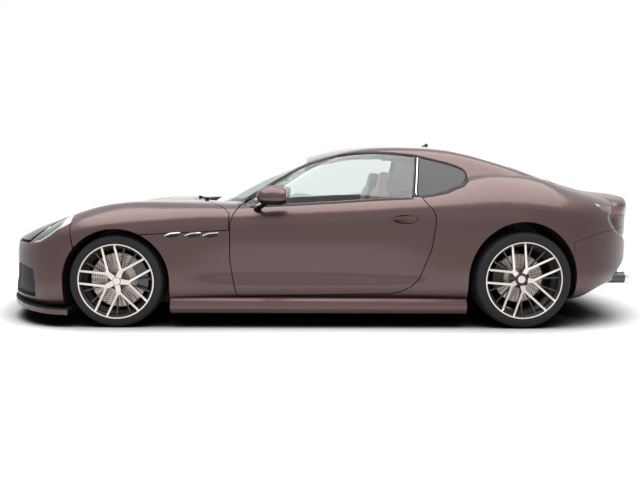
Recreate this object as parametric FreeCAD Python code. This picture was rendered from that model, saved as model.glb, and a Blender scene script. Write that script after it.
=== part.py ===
import FreeCAD, Part
import math
import os

V = FreeCAD.Vector

# Driving dimensions, in millimetres.
# The car faces -X, its left side is at -Y and the ground is at z = 0.
overall_length = 4959.0
wheelbase = 2929.0
front_overhang = 980.0
body_width = 1957.0
roof_height = 1360.0

half_length = overall_length / 2
half_width = body_width / 2
rear_overhang = overall_length - wheelbase - front_overhang
front_axle_x = front_overhang - half_length
rear_axle_x = front_axle_x + wheelbase

# Where the tables below are read: along the car as a share of the front overhang ahead of the
# front axle, of the wheelbase between the axles, and of the rear overhang behind the rear axle.
# Heights are shares of roof_height and half-widths are shares of half_width.


def station(share):
    """Place along the car for a share: 0 is the front axle and 1 the rear axle."""
    if share < 0:
        return front_axle_x + share * front_overhang
    if share > 1:
        return rear_axle_x + (share - 1) * rear_overhang
    return front_axle_x + share * wheelbase


# Splines in pure arithmetic

def basis_row(knots, count, degree, at):
    """All values of a clamped B-spline basis at one parameter."""
    if at >= knots[count]:
        return [0.0] * (count - 1) + [1.0]
    values = [1.0 if knots[i] <= at < knots[i + 1] else 0.0 for i in range(len(knots) - 1)]
    for order in range(1, degree + 1):
        raised = []
        for i in range(len(values) - 1):
            left_span = knots[i + order] - knots[i]
            right_span = knots[i + order + 1] - knots[i + 1]
            value = 0.0
            if left_span > 0:
                value += (at - knots[i]) / left_span * values[i]
            if right_span > 0:
                value += (knots[i + order + 1] - at) / right_span * values[i + 1]
            raised.append(value)
        values = raised
    return values


def clamped_knots(params, degree):
    """Knot line for interpolation at the given parameters."""
    inner = []
    for i in range(1, len(params) - degree):
        inner.append(sum(params[i:i + degree]) / degree)
    return [params[0]] * (degree + 1) + inner + [params[-1]] * (degree + 1)


def inverse(matrix):
    """Inverse of a small square matrix, by elimination with row changes."""
    size = len(matrix)
    rows = [list(matrix[i]) + [1.0 if i == j else 0.0 for j in range(size)] for i in range(size)]
    for col in range(size):
        pivot = max(range(col, size), key=lambda r: abs(rows[r][col]))
        rows[col], rows[pivot] = rows[pivot], rows[col]
        lead = rows[col][col]
        rows[col] = [value / lead for value in rows[col]]
        for r in range(size):
            factor = rows[r][col]
            if r != col and factor:
                rows[r] = [a - factor * b for a, b in zip(rows[r], rows[col])]
    return [row[size:] for row in rows]


def curve_table(pairs):
    """A smooth function through a table of (place, value) pairs, held flat outside it."""
    places = [pair[0] for pair in pairs]
    values = [pair[1] for pair in pairs]
    spans = [places[i + 1] - places[i] for i in range(len(places) - 1)]
    rises = [(values[i + 1] - values[i]) / spans[i] for i in range(len(spans))]
    slopes = [rises[0]]
    for i in range(1, len(rises)):
        if rises[i - 1] * rises[i] <= 0:
            slopes.append(0.0)
        else:
            before = 2 * spans[i] + spans[i - 1]
            after = spans[i] + 2 * spans[i - 1]
            slopes.append((before + after) / (before / rises[i - 1] + after / rises[i]))
    slopes.append(rises[-1])

    def read(at):
        if at <= places[0]:
            return values[0]
        if at >= places[-1]:
            return values[-1]
        i = 0
        while at > places[i + 1]:
            i += 1
        t = (at - places[i]) / spans[i]
        h00 = (1 + 2 * t) * (1 - t) ** 2
        h10 = t * (1 - t) ** 2
        h01 = t * t * (3 - 2 * t)
        h11 = t * t * (t - 1)
        return (h00 * values[i] + h10 * spans[i] * slopes[i]
                + h01 * values[i + 1] + h11 * spans[i] * slopes[i + 1])

    return read


def along_car(shares, unit):
    """A smooth function of x from a table of (station share, value share)."""
    return curve_table([(station(place), value * unit) for place, value in shares])


def surface_through(grid, u_params, v_params):
    """A cubic surface through a grid of points, C2 all over."""
    degree = 3
    u_knots = clamped_knots(u_params, degree)
    v_knots = clamped_knots(v_params, degree)
    u_solve = inverse([basis_row(u_knots, len(u_params), degree, u) for u in u_params])
    v_solve = inverse([basis_row(v_knots, len(v_params), degree, v) for v in v_params])
    half = []
    for row in u_solve:
        line = []
        for j in range(len(v_params)):
            x = sum(k * grid[i][j].x for i, k in enumerate(row) if k)
            y = sum(k * grid[i][j].y for i, k in enumerate(row) if k)
            z = sum(k * grid[i][j].z for i, k in enumerate(row) if k)
            line.append((x, y, z))
        half.append(line)
    poles = []
    for line in half:
        out = []
        for row in v_solve:
            out.append(V(*[sum(k * line[j][axis] for j, k in enumerate(row)) for axis in range(3)]))
        poles.append(out)
    surface = Part.BSplineSurface()
    surface.buildFromPolesMultsKnots(
        poles, *knots_and_repeats(u_knots, v_knots), False, False, degree, degree)
    return surface


def knots_and_repeats(u_knots, v_knots):
    """Repeats and distinct values of two knot lines, as the surface wants them."""
    u_values = sorted(set(u_knots))
    v_values = sorted(set(v_knots))
    u_repeats = [u_knots.count(value) for value in u_values]
    v_repeats = [v_knots.count(value) for value in v_values]
    return u_repeats, v_repeats, u_values, v_values


def hull_solid(sections, u_params, v_params):
    """A solid from closed cross-sections that each lie in a plane across the car."""
    face = surface_through(sections, u_params, v_params).toShape()
    ends = []
    for edge in face.Edges:
        box = edge.BoundBox
        if box.XLength < box.YLength * 0.01:
            ends.append(Part.Face(Part.Wire([edge])))
    shell = Part.makeShell([face] + ends)
    shell.sewShape()
    solid = Part.makeSolid(shell)
    if solid.Volume < 0:
        solid.reverse()
    return solid


# Lower body, from the sills over the bonnet, the belt and the haunches
deck_shares = ((-0.96, 0.432), (-0.835, 0.471), (-0.627, 0.531), (-0.419, 0.576), (-0.211, 0.607),
               (0.0, 0.632), (0.068, 0.648), (0.137, 0.661), (0.189, 0.664), (0.293, 0.666),
               (0.375, 0.682), (0.545, 0.706), (0.645, 0.721), (0.721, 0.733), (0.799, 0.758),
               (0.834, 0.780), (0.875, 0.802), (0.957, 0.812), (1.181, 0.795), (1.353, 0.765),
               (1.553, 0.735), (1.757, 0.708), (1.924, 0.690))
widest_shares = ((-0.96, 0.309), (-0.664, 0.331), (-0.378, 0.397), (-0.154, 0.441), (0.034, 0.452),
                 (0.293, 0.456), (0.645, 0.471), (0.799, 0.493), (0.957, 0.515), (1.181, 0.507),
                 (1.553, 0.471), (1.829, 0.441), (2.0, 0.412))
underside_shares = ((-0.999, 0.110), (-0.715, 0.092), (-0.426, 0.073), (0.171, 0.078), (0.512, 0.081),
                    (0.795, 0.090), (0.956, 0.103), (1.409, 0.127), (1.62, 0.190), (1.74, 0.212),
                    (1.88, 0.219), (2.0, 0.224))
width_shares = ((-0.999, 0.969), (-0.379, 0.973), (-0.154, 0.982), (0.0, 0.984), (0.085, 0.976),
                (0.171, 0.959), (0.273, 0.943), (0.41, 0.937), (0.546, 0.938), (0.683, 0.946),
                (0.785, 0.963), (0.888, 0.986), (0.956, 0.997), (1.0, 1.0), (1.162, 0.997),
                (1.353, 0.986), (1.543, 0.966), (2.0, 0.95))
squareness_shares = ((-0.999, 3.4), (-0.378, 4.0), (0.034, 4.2), (0.293, 5.3), (0.717, 5.3),
                     (0.875, 3.6), (1.027, 3.4), (1.553, 3.8), (2.0, 4.4))
crown_shares = ((-0.817, 0.0), (-0.545, 0.0), (-0.366, 0.015), (-0.154, 0.032), (0.0, 0.035),
                (0.058, 0.028), (0.119, 0.015), (0.22, 0.004), (0.35, 0.0), (0.62, 0.0),
                (0.80, 0.018), (0.957, 0.05), (1.1, 0.045), (1.4, 0.012), (1.7, 0.0))
crown_place_share = 0.76
crown_spread_share = 0.17
underside_squareness = 7.0
nose_start_share = -0.35
nose_roundness = 2.0
tail_start_share = 1.36
tail_roundness = 2.0
nose_overshoot = 10.0
tail_overshoot = 20.0

deck_height = along_car(deck_shares, roof_height)
widest_height = along_car(widest_shares, roof_height)
underside_height = along_car(underside_shares, roof_height)
side_width = along_car(width_shares, half_width)
squareness = along_car(squareness_shares, 1)
crown_rise = along_car(crown_shares, roof_height)

# The doors are drawn in below the belt and have a crease above the sill.
scoop_shares = ((0.16, 0.0), (0.24, 0.012), (0.34, 0.023), (0.60, 0.024), (0.69, 0.018), (0.76, 0.0))
scoop_depth = along_car(scoop_shares, half_width)
scoop_height = 374.0
scoop_reach_above = 170.0
scoop_reach_below = 30.0


def end_narrowing(x, inset):
    """Share of the full width that is left near the nose and the tail."""
    nose_start = station(nose_start_share)
    tail_start = station(tail_start_share)
    if x < nose_start:
        depth = nose_start + half_length + nose_overshoot - inset
        return (1 - min(1.0, (nose_start - x) / depth) ** nose_roundness) ** (1 / nose_roundness)
    if x > tail_start:
        depth = half_length - tail_start + tail_overshoot - inset
        return (1 - min(1.0, (x - tail_start) / depth) ** tail_roundness) ** (1 / tail_roundness)
    return 1.0


def lower_point(x, angle, side_inset, top_inset, base_inset):
    """A point of the lower body's section at x. Angle -90 is the keel and 90 the deck's middle."""
    half = (side_width(x) - side_inset) * end_narrowing(x, side_inset)
    middle = widest_height(x)
    cosine = abs(math.cos(math.radians(angle)))
    sine = abs(math.sin(math.radians(angle)))
    above = math.sin(math.radians(angle)) > 0
    power = squareness(x) if above else underside_squareness
    scale = (cosine ** power + sine ** power) ** (-1 / power)
    y = half * cosine * scale
    if above:
        z = middle + (deck_height(x) - top_inset - middle) * sine * scale
        off = (y / half - crown_place_share) / crown_spread_share
        z += crown_rise(x) * math.exp(-off * off)
    else:
        z = middle - (middle - underside_height(x) - base_inset) * sine * scale
    dip = (z - scoop_height) / (scoop_reach_above if z > scoop_height else scoop_reach_below)
    y -= scoop_depth(x) * math.exp(-dip * dip) * min(1.0, cosine * scale) ** scoop_fade_power
    return y, z


quarter_angles = (-90, -70, -58, -51, -47, -44, -40, -35, -31, -28, -25, -21, -15, -8, 0, 8, 17,
                  25, 32, 38, 43, 48, 54, 61, 69, 79, 90)
end_section_count = 9
end_section_ease = 1.6
scoop_fade_power = 4


def station_line(first, last, dense):
    """Places of the sections, closer together where an end rounds in."""
    nose_start = station(nose_start_share)
    tail_start = station(tail_start_share)
    places = []
    for i in range(dense):
        turn = math.acos(1 - i / dense)
        places.append(first + (nose_start - first) * (1 - math.cos(turn)) ** end_section_ease)
    middle_steps = dense * 2
    for i in range(middle_steps):
        places.append(nose_start + (tail_start - nose_start) * i / middle_steps)
    for i in range(dense + 1):
        places.append(last - (last - tail_start) * (1 - i / dense) ** end_section_ease)
    return places


def lower_hull(side_inset, top_inset, base_inset):
    """The lower body as a closed solid, drawn in by the given insets."""
    first = -half_length + side_inset
    last = half_length - side_inset
    places = station_line(first, last, end_section_count)
    sections = []
    for x in places:
        ring = []
        for angle in quarter_angles:
            y, z = lower_point(x, angle, side_inset, top_inset, base_inset)
            ring.append(V(x, -y, z))
        ring[0].y = 0
        ring[-1].y = 0
        mirror = [V(p.x, -p.y, p.z) for p in reversed(ring[:-1])]
        sections.append(ring + mirror)
    v_params = list(quarter_angles) + [180 - angle for angle in reversed(quarter_angles[:-1])]
    return hull_solid(sections, places, [float(v) for v in v_params])


# Greenhouse: windscreen, roof, rear window and boot deck over the middle of the car
roof_shares = ((0.131, 0.560), (0.171, 0.615), (0.207, 0.657), (0.224, 0.681), (0.259, 0.725),
               (0.294, 0.765), (0.329, 0.803), (0.381, 0.854), (0.433, 0.900), (0.486, 0.940),
               (0.556, 0.976), (0.625, 0.994), (0.696, 1.0), (0.765, 0.998), (0.837, 0.986),
               (0.908, 0.959), (0.980, 0.919), (1.146, 0.871), (1.349, 0.815), (1.505, 0.777),
               (1.639, 0.749), (1.757, 0.733), (1.924, 0.720))
cabin_width_shares = ((0.131, 0.86), (0.293, 0.835), (0.42, 0.825), (0.717, 0.825), (0.87, 0.80),
                      (1.0, 0.76), (1.2, 0.70), (1.5, 0.645), (1.924, 0.60))
lean_shares = ((0.131, 0.16), (0.36, 0.20), (0.717, 0.215), (1.0, 0.22), (1.5, 0.20), (1.924, 0.15))
flare_shares = ((0.70, 0.0), (0.80, 0.03), (0.90, 0.11), (1.0, 0.16), (1.2, 0.17), (1.5, 0.15),
                (1.924, 0.10))
sweep_shares = ((0.171, -0.255), (0.375, -0.24), (0.556, -0.08), (0.696, 0.0), (0.908, 0.06),
                (1.349, 0.09), (1.924, 0.06))
roof_line = along_car(roof_shares, roof_height)
cabin_width = along_car(cabin_width_shares, half_width)
cabin_lean = along_car(lean_shares, half_width)
cabin_flare = along_car(flare_shares, half_width)
plan_sweep = along_car(sweep_shares, half_width)
belt_height = 900.0
lean_height = 372.0
side_bulge = 17.0
crown_drop_share = 0.04
flare_start = 270.0
roof_edge_radius = 55.0
cabin_base = 640.0
cabin_core = 700.0
cabin_front_share = 0.131
cabin_rear_share = 1.924
cabin_section_count = 34
cabin_least_rise = 40.0
sweep_power = 2.2
sweep_scale_share = 1.6
bulge_share = 4.0
low_band_share = 0.25
side_limit_share = 0.97
halving_steps = 42
foot_width_shares = (0.50, 0.90, 0.99)
foot_rise_share = 0.30
foot_params = (-60.0, -35.0, -14.0, -6.0)


def roof_at(x, y, inset):
    """Height of the roof surface, swept back at its sides and crowned across."""
    out = abs(y) / half_width
    eased = x + plan_sweep(x) * out ** sweep_power * sweep_scale_share
    return roof_line(eased) - crown_drop_share * half_width * (out * 2) ** 2 - inset


def cabin_side(x, z, inset):
    """Half-width of the greenhouse at a height, leaning in and flared at the haunches."""
    low = belt_height - lean_height * low_band_share
    rise = (max(z, low) - belt_height) / lean_height
    y = cabin_width(x) - cabin_lean(x) * rise
    y += side_bulge * bulge_share * rise * (1 - rise)
    foot = max(0.0, 1 - (z - low) / flare_start)
    if not inset:
        y += cabin_flare(x) * min(foot, 1.0) ** 2
    return min(y, side_limit_share * side_width(x) * end_narrowing(x, 0)) - inset


def cabin_radius_at(x, way_y, way_z, inset):
    """How far the greenhouse skin is from the core line, in one direction across the car."""
    low = 0.0
    high = half_width * 2
    for _ in range(halving_steps):
        middle = (low + high) / 2
        y = way_y * middle
        z = cabin_core + way_z * middle
        over = z - roof_at(x, y, inset)
        beyond = y - cabin_side(x, z, inset)
        radius = roof_edge_radius
        mix = max(0.0, radius - abs(over - beyond)) / radius
        if max(over, beyond) + mix * mix * radius / 4 > 0:
            high = middle
        else:
            low = middle
    return low


cabin_angles = (0, 8, 16, 24, 31, 37, 41, 45, 49, 53, 59, 66, 74, 82, 90)


def greenhouse_hull(inset):
    """The greenhouse as a closed solid that reaches down into the lower body."""
    first = station(cabin_front_share) + inset
    last = station(cabin_rear_share) - inset
    steps = cabin_section_count
    places = [first + (last - first) * i / steps for i in range(steps + 1)]
    sections = []
    for x in places:
        tall = max(roof_line(x) - cabin_core, cabin_least_rise)
        wide = cabin_side(x, (cabin_core + roof_line(x)) / 2, inset)
        foot = cabin_side(x, cabin_core, inset)
        base = cabin_base + inset
        near, wide_foot, edge = foot_width_shares
        ring = [V(x, 0, base), V(x, -foot * near, base), V(x, -foot * wide_foot, base)]
        ring.append(V(x, -foot * edge, base + (cabin_core - base) * foot_rise_share))
        for angle in cabin_angles:
            way_y = math.cos(math.radians(angle)) * wide
            way_z = math.sin(math.radians(angle)) * tall
            size = math.hypot(way_y, way_z)
            reach = cabin_radius_at(x, way_y / size, way_z / size, inset)
            ring.append(V(x, -way_y / size * reach, cabin_core + way_z / size * reach))
        ring[-1].y = 0
        mirror = [V(p.x, -p.y, p.z) for p in reversed(ring[:-1])]
        sections.append(ring + mirror)
    v_params = list(foot_params) + [float(v) for v in cabin_angles]
    v_params += [180 - v for v in reversed(v_params[:-1])]
    return hull_solid(sections, places, v_params)


# Outlines in the side view, as (station share, height share)
door_shares = ((0.298, 0.648), (0.282, 0.606), (0.274, 0.559), (0.273, 0.511), (0.273, 0.438),
               (0.273, 0.357), (0.278, 0.277), (0.285, 0.208), (0.290, 0.163), (0.324, 0.161),
               (0.446, 0.168), (0.570, 0.174), (0.670, 0.179), (0.699, 0.193), (0.723, 0.221),
               (0.742, 0.264), (0.759, 0.355), (0.770, 0.417), (0.776, 0.498), (0.780, 0.567),
               (0.778, 0.610), (0.770, 0.641), (0.757, 0.668), (0.747, 0.703), (0.731, 0.702),
               (0.645, 0.693), (0.545, 0.677), (0.445, 0.663), (0.370, 0.655), (0.320, 0.648))
front_window_shares = ((0.291, 0.638), (0.329, 0.697), (0.381, 0.764), (0.419, 0.815),
                       (0.445, 0.846), (0.470, 0.871), (0.509, 0.899), (0.547, 0.917),
                       (0.586, 0.929), (0.637, 0.935), (0.689, 0.931), (0.742, 0.919),
                       (0.728, 0.700), (0.645, 0.691), (0.545, 0.675), (0.445, 0.661),
                       (0.370, 0.653), (0.320, 0.645))
quarter_window_shares = ((0.756, 0.915), (0.780, 0.900), (0.820, 0.880), (0.846, 0.863),
                         (0.862, 0.847), (0.870, 0.819), (0.866, 0.790), (0.853, 0.765),
                         (0.834, 0.749), (0.809, 0.727), (0.771, 0.711), (0.742, 0.703))
bonnet_edge_shares = ((-1.2, 0.423), (-0.302, 0.423), (0.030, 0.420), (0.060, 0.489),
                      (0.073, 0.491), (0.154, 0.500), (0.239, 0.510), (0.273, 0.514),
                      (0.273, 0.90), (-1.2, 0.90))
bonnet_middle_shares = ((-1.2, 0.423), (-0.3, 0.423), (0.0, 0.90), (-1.2, 0.90))
lamp_top_shares = ((-1.3, 0.423), (-0.659, 0.445), (-0.568, 0.496), (-0.471, 0.551),
                   (-0.381, 0.583), (-0.347, 0.583), (-0.334, 0.547), (-0.302, 0.425),
                   (-0.302, 0.30), (-1.3, 0.30))
bumper_edge_shares = ((-1.2, 0.423), (-0.659, 0.436), (-0.608, 0.436), (-0.548, 0.442),
                      (-0.473, 0.474), (-0.398, 0.518), (-0.334, 0.547), (-0.302, 0.425),
                      (-0.302, 0.04), (-1.2, 0.04))
nose_profile_shares = ((0.060, -0.975), (0.110, -0.982), (0.147, -0.989), (0.184, -0.987),
                       (0.221, -0.978), (0.276, -0.973), (0.335, -0.970), (0.393, -0.966),
                       (0.432, -0.956), (0.52, -0.945))
tail_profile_shares = ((0.177, 1.833), (0.219, 1.918), (0.293, 1.958), (0.336, 1.986), (0.391, 2.0),
                       (0.432, 1.996), (0.473, 1.984), (0.503, 1.959), (0.550, 1.931),
                       (0.603, 1.912), (0.650, 1.908), (0.691, 1.885), (0.80, 1.87))
nose_plan_radius = 1500.0
tail_plan_radius = 1400.0
lamp_edge_shares = ((-0.659, 0.436), (-0.568, 0.490), (-0.471, 0.545), (-0.381, 0.577),
                    (-0.345, 0.578), (-0.334, 0.547), (-0.398, 0.518), (-0.473, 0.474),
                    (-0.548, 0.442), (-0.608, 0.436))
tail_lamp_shares = ((1.521, 0.672), (1.581, 0.656), (1.706, 0.651), (2.1, 0.646), (2.1, 0.600),
                    (1.715, 0.612), (1.667, 0.615), (1.568, 0.634))
rear_bumper_shares = ((1.335, 0.02), (1.335, 0.470), (1.55, 0.520), (1.75, 0.535), (2.1, 0.540),
                      (2.1, 0.02))
side_cut_reach = half_width + 200.0


def side_points(shares):
    """Points of a side-view outline in millimetres."""
    return [V(station(place), 0, height * roof_height) for place, height in shares]


def shrunk(points, gap):
    """A closed outline moved inward by a gap, corner by corner."""
    area = 0.0
    count = len(points)
    for i in range(count):
        a, b = points[i], points[(i + 1) % count]
        area += a.x * b.z - b.x * a.z
    turn = 1 if area > 0 else -1
    moved = []
    for i in range(count):
        before = points[i] - points[i - 1]
        after = points[(i + 1) % count] - points[i]
        before.normalize()
        after.normalize()
        n1 = V(-before.z, 0, before.x) * turn
        n2 = V(-after.z, 0, after.x) * turn
        both = n1 + n2
        share = max(both.dot(both) / 2, 0.3)
        moved.append(points[i] + both * (gap / share))
    return moved


def side_prism(points, near, far):
    """A solid with a side-view outline, from one distance off the middle to another."""
    loop = [V(p.x, near, p.z) for p in points]
    wire = Part.makePolygon(loop + [loop[0]])
    return Part.Face(wire).extrude(V(0, far - near, 0))


def both_sides(points, near, far):
    """The side prism on the left and on the right of the car."""
    return [side_prism(points, -far, -near), side_prism(points, near, far)]


def block(x0, x1, y0, y1, z0, z1):
    """A plain box between two corners."""
    return Part.makeBox(x1 - x0, y1 - y0, z1 - z0, V(x0, y0, z0))


def across(shape):
    """The mirror image of a shape on the other side of the car."""
    return shape.mirror(V(0, 0, 0), V(0, 1, 0))


# Body panels and their gaps
door_wall = 80.0
skin_wall = 30.0
floor_wall = 60.0
pillar_wall = 38.0
shut_gap = 6.5
fixed_gap = 3.0
seat_gap = 0.3
bumper_gap = 0.15
lamp_inner = 600.0
lamp_overlap = 20.0
tail_lamp_inner = 600.0
door_inner = 450.0
window_inner = 400.0
pane_sink = 14.0
belt_share = 0.75
cut_top = 1500.0
screen_hole_low = 700.0
rear_screen_low = 900.0
lid_low_share = 0.56
splitter_end_share = -0.302
rear_bumper_share = 1.335
least_point_gap = 0.01
glass_inset = 3.0
glass_thickness = 5.0

# Wheels and tyres
front_tyre_radius = 333.5
rear_tyre_radius = 355.0
front_tyre_width = 265.0
rear_tyre_width = 295.0
front_track_half = 818.0
rear_track_half = 820.0
front_flange_radius = 271.0
rear_flange_radius = 284.0
front_arch_radius = 376.0
rear_arch_half_length = 396.0
rear_arch_height = 427.0
well_inner = 512.0
liner_wall = 12.0
rear_well_shift = 9.0
front_dish = 26.0
rear_dish = 70.0
front_disc_radius = 195.0
rear_disc_radius = 178.0
caliper_turn = 80.0

wheel_sets = (
    ("front", front_axle_x, front_tyre_radius, front_tyre_width, front_track_half,
     front_flange_radius, front_dish),
    ("rear", rear_axle_x, rear_tyre_radius, rear_tyre_width, rear_track_half,
     rear_flange_radius, rear_dish),
)


def cylinder(x, z, radius, y0, y1):
    """A round bar across the car."""
    return Part.makeCylinder(radius, y1 - y0, V(x, y0, z), V(0, 1, 0))


def oval(x, z, half_x, half_z, y0, y1):
    """An oval bar across the car, the greater half-axis upright."""
    placed = Part.Ellipse(V(x, y0, z + half_z), V(x + half_x, y0, z), V(x, y0, z))
    face = Part.Face(Part.Wire([placed.toShape()]))
    return face.extrude(V(0, y1 - y0, 0))


def wheel_well(end, grow, y0, y1):
    """The space of one wheel on the +Y side, between two distances off the middle."""
    if end == "front":
        x, z = front_axle_x, front_tyre_radius
        half_x = half_z = front_arch_radius + grow
        round_part = cylinder(x, z, half_x, y0, y1)
    else:
        x, z = rear_axle_x - rear_well_shift, rear_tyre_radius
        half_x = rear_arch_half_length + grow
        half_z = rear_arch_height + grow
        round_part = oval(x, z, half_x, half_z, y0, y1)
    straight = block(x - half_x, x + half_x, y0, y1, 0, z)
    return round_part.fuse(straight)


def plan_prism(points, z0, z1):
    """A solid with a plan outline given on one side, mirrored over the middle line."""
    loop = [V(x, y, z0) for x, y in points] + [V(x, -y, z0) for x, y in reversed(points)]
    clean = []
    for p in loop:
        if not clean or (p - clean[-1]).Length > least_point_gap:
            clean.append(p)
    if (clean[0] - clean[-1]).Length < least_point_gap:
        clean.pop()
    return Part.Face(Part.makePolygon(clean + [clean[0]])).extrude(V(0, 0, z1 - z0))


screen_sweep_share = 0.26
screen_low = 872.0
cowl_x_share = 0.148
screen_sweep_power = 2.2
screen_sweep_reach = 760.0
bonnet_zone_reach = 100.0
bonnet_zone_half = 1200.0
bonnet_zone_bend = 1000.0
bonnet_zone_steps = 10


def cowl_edge(y, grow):
    """Rear edge of the bonnet in plan, following the foot of the windscreen."""
    bend = (abs(y) / screen_sweep_reach) ** screen_sweep_power
    return station(cowl_x_share) + screen_sweep_share * half_width * bend + grow


def bonnet_plan(grow):
    """Plan outline of the bonnet's region."""
    front = -half_length - bonnet_zone_reach
    points = [(front, 0.0), (front, bonnet_zone_half)]
    for i in range(bonnet_zone_steps + 1):
        y = bonnet_zone_half * (1 - i / bonnet_zone_steps)
        points.append((cowl_edge(min(y, bonnet_zone_bend), grow), y))
    return points


# Outlines in plan, as (x, y) in millimetres
screen_outline = ((-1010.0, 0.0), (-985.0, 250.0), (-905.0, 480.0), (-815.0, 612.0), (-775.0, 640.0),
                 (-450.0, 574.0), (-160.0, 492.0), (-135.0, 470.0), (-150.0, 300.0), (-158.0, 0.0))
rear_screen_outline = ((985.0, 0.0), (985.0, 250.0), (995.0, 460.0), (1020.0, 478.0),
                      (1400.0, 520.0), (1760.0, 545.0), (1800.0, 520.0), (1812.0, 250.0),
                      (1815.0, 0.0))
boot_axis_x = 1967.0
boot_lid_outline = ((1962.0, 0.0), (1962.0, 300.0), (1962.0, 535.0), (2200.0, 560.0),
                   (2700.0, 575.0), (2700.0, 0.0))


def shrunk_plan(points, gap):
    """A mirrored plan outline drawn in by a gap."""
    loop = [V(x, 0, y) for x, y in points] + [V(x, 0, -y) for x, y in reversed(points)]
    clean = []
    for p in loop:
        if not clean or (p - clean[-1]).Length > least_point_gap:
            clean.append(p)
    if (clean[0] - clean[-1]).Length < least_point_gap:
        clean.pop()
    moved = shrunk(clean, gap)
    return [(p.x, p.z) for p in moved]


def loop_prism(points, z0, z1):
    """A solid with a closed plan outline."""
    loop = [V(x, y, z0) for x, y in points]
    return Part.Face(Part.makePolygon(loop + [loop[0]])).extrude(V(0, 0, z1 - z0))


def full_loop(points):
    """Both halves of a plan outline as one closed list."""
    return shrunk_plan(points, 0.0)


def bar(p0, p1, wide0, wide1, thick0, thick1):
    """A straight bar between two points in a wheel's plane, wide across and thick along Y."""
    way = V(p1.x - p0.x, 0, p1.z - p0.z)
    way.normalize()
    side = V(-way.z, 0, way.x)
    ends = []
    for p, wide, thick in ((p0, wide0, thick0), (p1, wide1, thick1)):
        loop = [p + side * (wide / 2) + V(0, -thick / 2, 0), p + side * (wide / 2) + V(0, thick / 2, 0),
                p - side * (wide / 2) + V(0, thick / 2, 0), p - side * (wide / 2) + V(0, -thick / 2, 0)]
        ends.append(Part.makePolygon(loop + [loop[0]]))
    return Part.makeLoft(ends, True, True)


def turned(profile, x, z, y):
    """A ring turned about the wheel's axis from (radius, y) points."""
    loop = [V(x, y + at, z + radius) for radius, at in profile]
    face = Part.Face(Part.makePolygon(loop + [loop[0]]))
    return face.revolve(V(x, y, z), V(0, 1, 0), 360)


def polar(x, z, radius, degrees, y):
    """A point at a radius and a clock angle in the wheel's plane."""
    a = math.radians(degrees)
    return V(x + radius * math.sin(a), y, z + radius * math.cos(a))


# Tyre section
tread_half_share = 0.72
shoulder_half_share = 0.86
sidewall_half_share = 0.96
bead_half_share = 0.93
bead_seat_share = 0.80
bead_inner_share = 0.78
inner_wall_share = 0.82
inner_tread_share = 0.60
bead_drop = 17.0
bead_height = 14.0
bead_wall = 9.0
tread_drop = 4.0
shoulder_drop = 16.0
tread_wall = 14.0
inner_shoulder_drop = 22.0


def make_tyre(x, radius, width, track, flange):
    """A tyre on the left side of the car."""
    h = width / 2
    bead = flange - bead_drop
    outer = [(bead, bead_seat_share), (bead + bead_height, bead_half_share),
             ((radius + flange) / 2, 1.0), (radius - shoulder_drop, sidewall_half_share),
             (radius - tread_drop, shoulder_half_share), (radius, tread_half_share)]
    inner = [(bead + bead_wall, bead_inner_share), (radius - inner_shoulder_drop, inner_wall_share),
             (radius - tread_wall, inner_tread_share)]
    profile = [(r, -h * share) for r, share in outer]
    profile += [(r, h * share) for r, share in reversed(outer)]
    profile += [(r, h * share) for r, share in inner]
    profile += [(r, -h * share) for r, share in reversed(inner)]
    return turned(profile, x, radius, -track)


# Rim barrel
flange_wall = 12.0
flange_height = 3.0
lip_width = 5.0
barrel_wall = 9.0
well_drop = 22.0
well_half_share = 0.30
well_outer_share = 0.50
well_inner_share = 0.60

# Hub of the rim, as radii and depths behind the spokes' face
cap_proud = 8.0
cap_flat_radius = 27.0
cap_edge_radius = 30.0
cap_edge_proud = 5.0
cap_foot_radius = 33.0
hub_face_radius = 62.0
hub_face_depth = 22.0
hub_radius = 68.0
hub_edge_depth = 26.0
hub_depth = 34.0

# Spokes: five stems that fork to ten, with a thinner rib behind each
stem_count = 5
first_stem_angle = 24.8
spoke_lean = 25.7
stem_root_radius = 28.0
stem_root_depth = 12.6
stem_width = 30.0
stem_root_share = 1.3
stem_depth = 34.0
fork_radius = 86.0
fork_rise_share = 0.20
fork_spread_share = 0.15
spoke_root_width = 17.0
spoke_tip_width = 14.0
spoke_depth = 26.0
spoke_tip_depth = 20.0
spoke_end_inset = 22.0
tab_depth = 4.6
tab_start_inset = 34.0
tab_end_inset = 7.0
rib_root_radius = 70.0
rib_root_share = 0.30
rib_root_depth = 24.0
rib_end_inset = 26.0
rib_lean_share = 0.44
rib_setback = 24.0
rib_width = 9.0
rib_depth = 14.0


def rim_barrel(x, radius, width, track, flange):
    """The ring that carries the tyre's beads, with its well."""
    h = width / 2
    seat = flange - bead_drop - seat_gap
    bead_edge = h * bead_seat_share + seat_gap * 2
    hook = h * bead_half_share + seat_gap * 2
    lip = hook + lip_width
    inner = seat - barrel_wall
    top = flange - flange_height
    profile = [(flange - flange_wall, -lip), (top, -lip), (top, -hook), (seat, -bead_edge),
               (seat, -h * well_outer_share), (seat - well_drop, -h * well_half_share),
               (seat - well_drop, h * well_half_share), (seat, h * well_inner_share),
               (seat, bead_edge), (top, hook), (top, lip), (inner, bead_edge),
               (inner, h * well_inner_share), (inner - well_drop, h * well_half_share),
               (inner - well_drop, -h * well_half_share), (inner, -h * well_outer_share),
               (inner, -bead_edge)]
    return turned(profile, x, radius, -track)


def rim_hub(x, radius, face):
    """The round middle of the rim with its plain cap."""
    profile = [(0.0, -cap_proud), (cap_flat_radius, -cap_proud), (cap_edge_radius, -cap_edge_proud),
               (cap_foot_radius, cap_proud), (hub_face_radius, hub_face_depth),
               (hub_radius, hub_edge_depth), (hub_radius, hub_depth), (0.0, hub_depth)]
    return turned(profile, x, radius, face)


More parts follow.
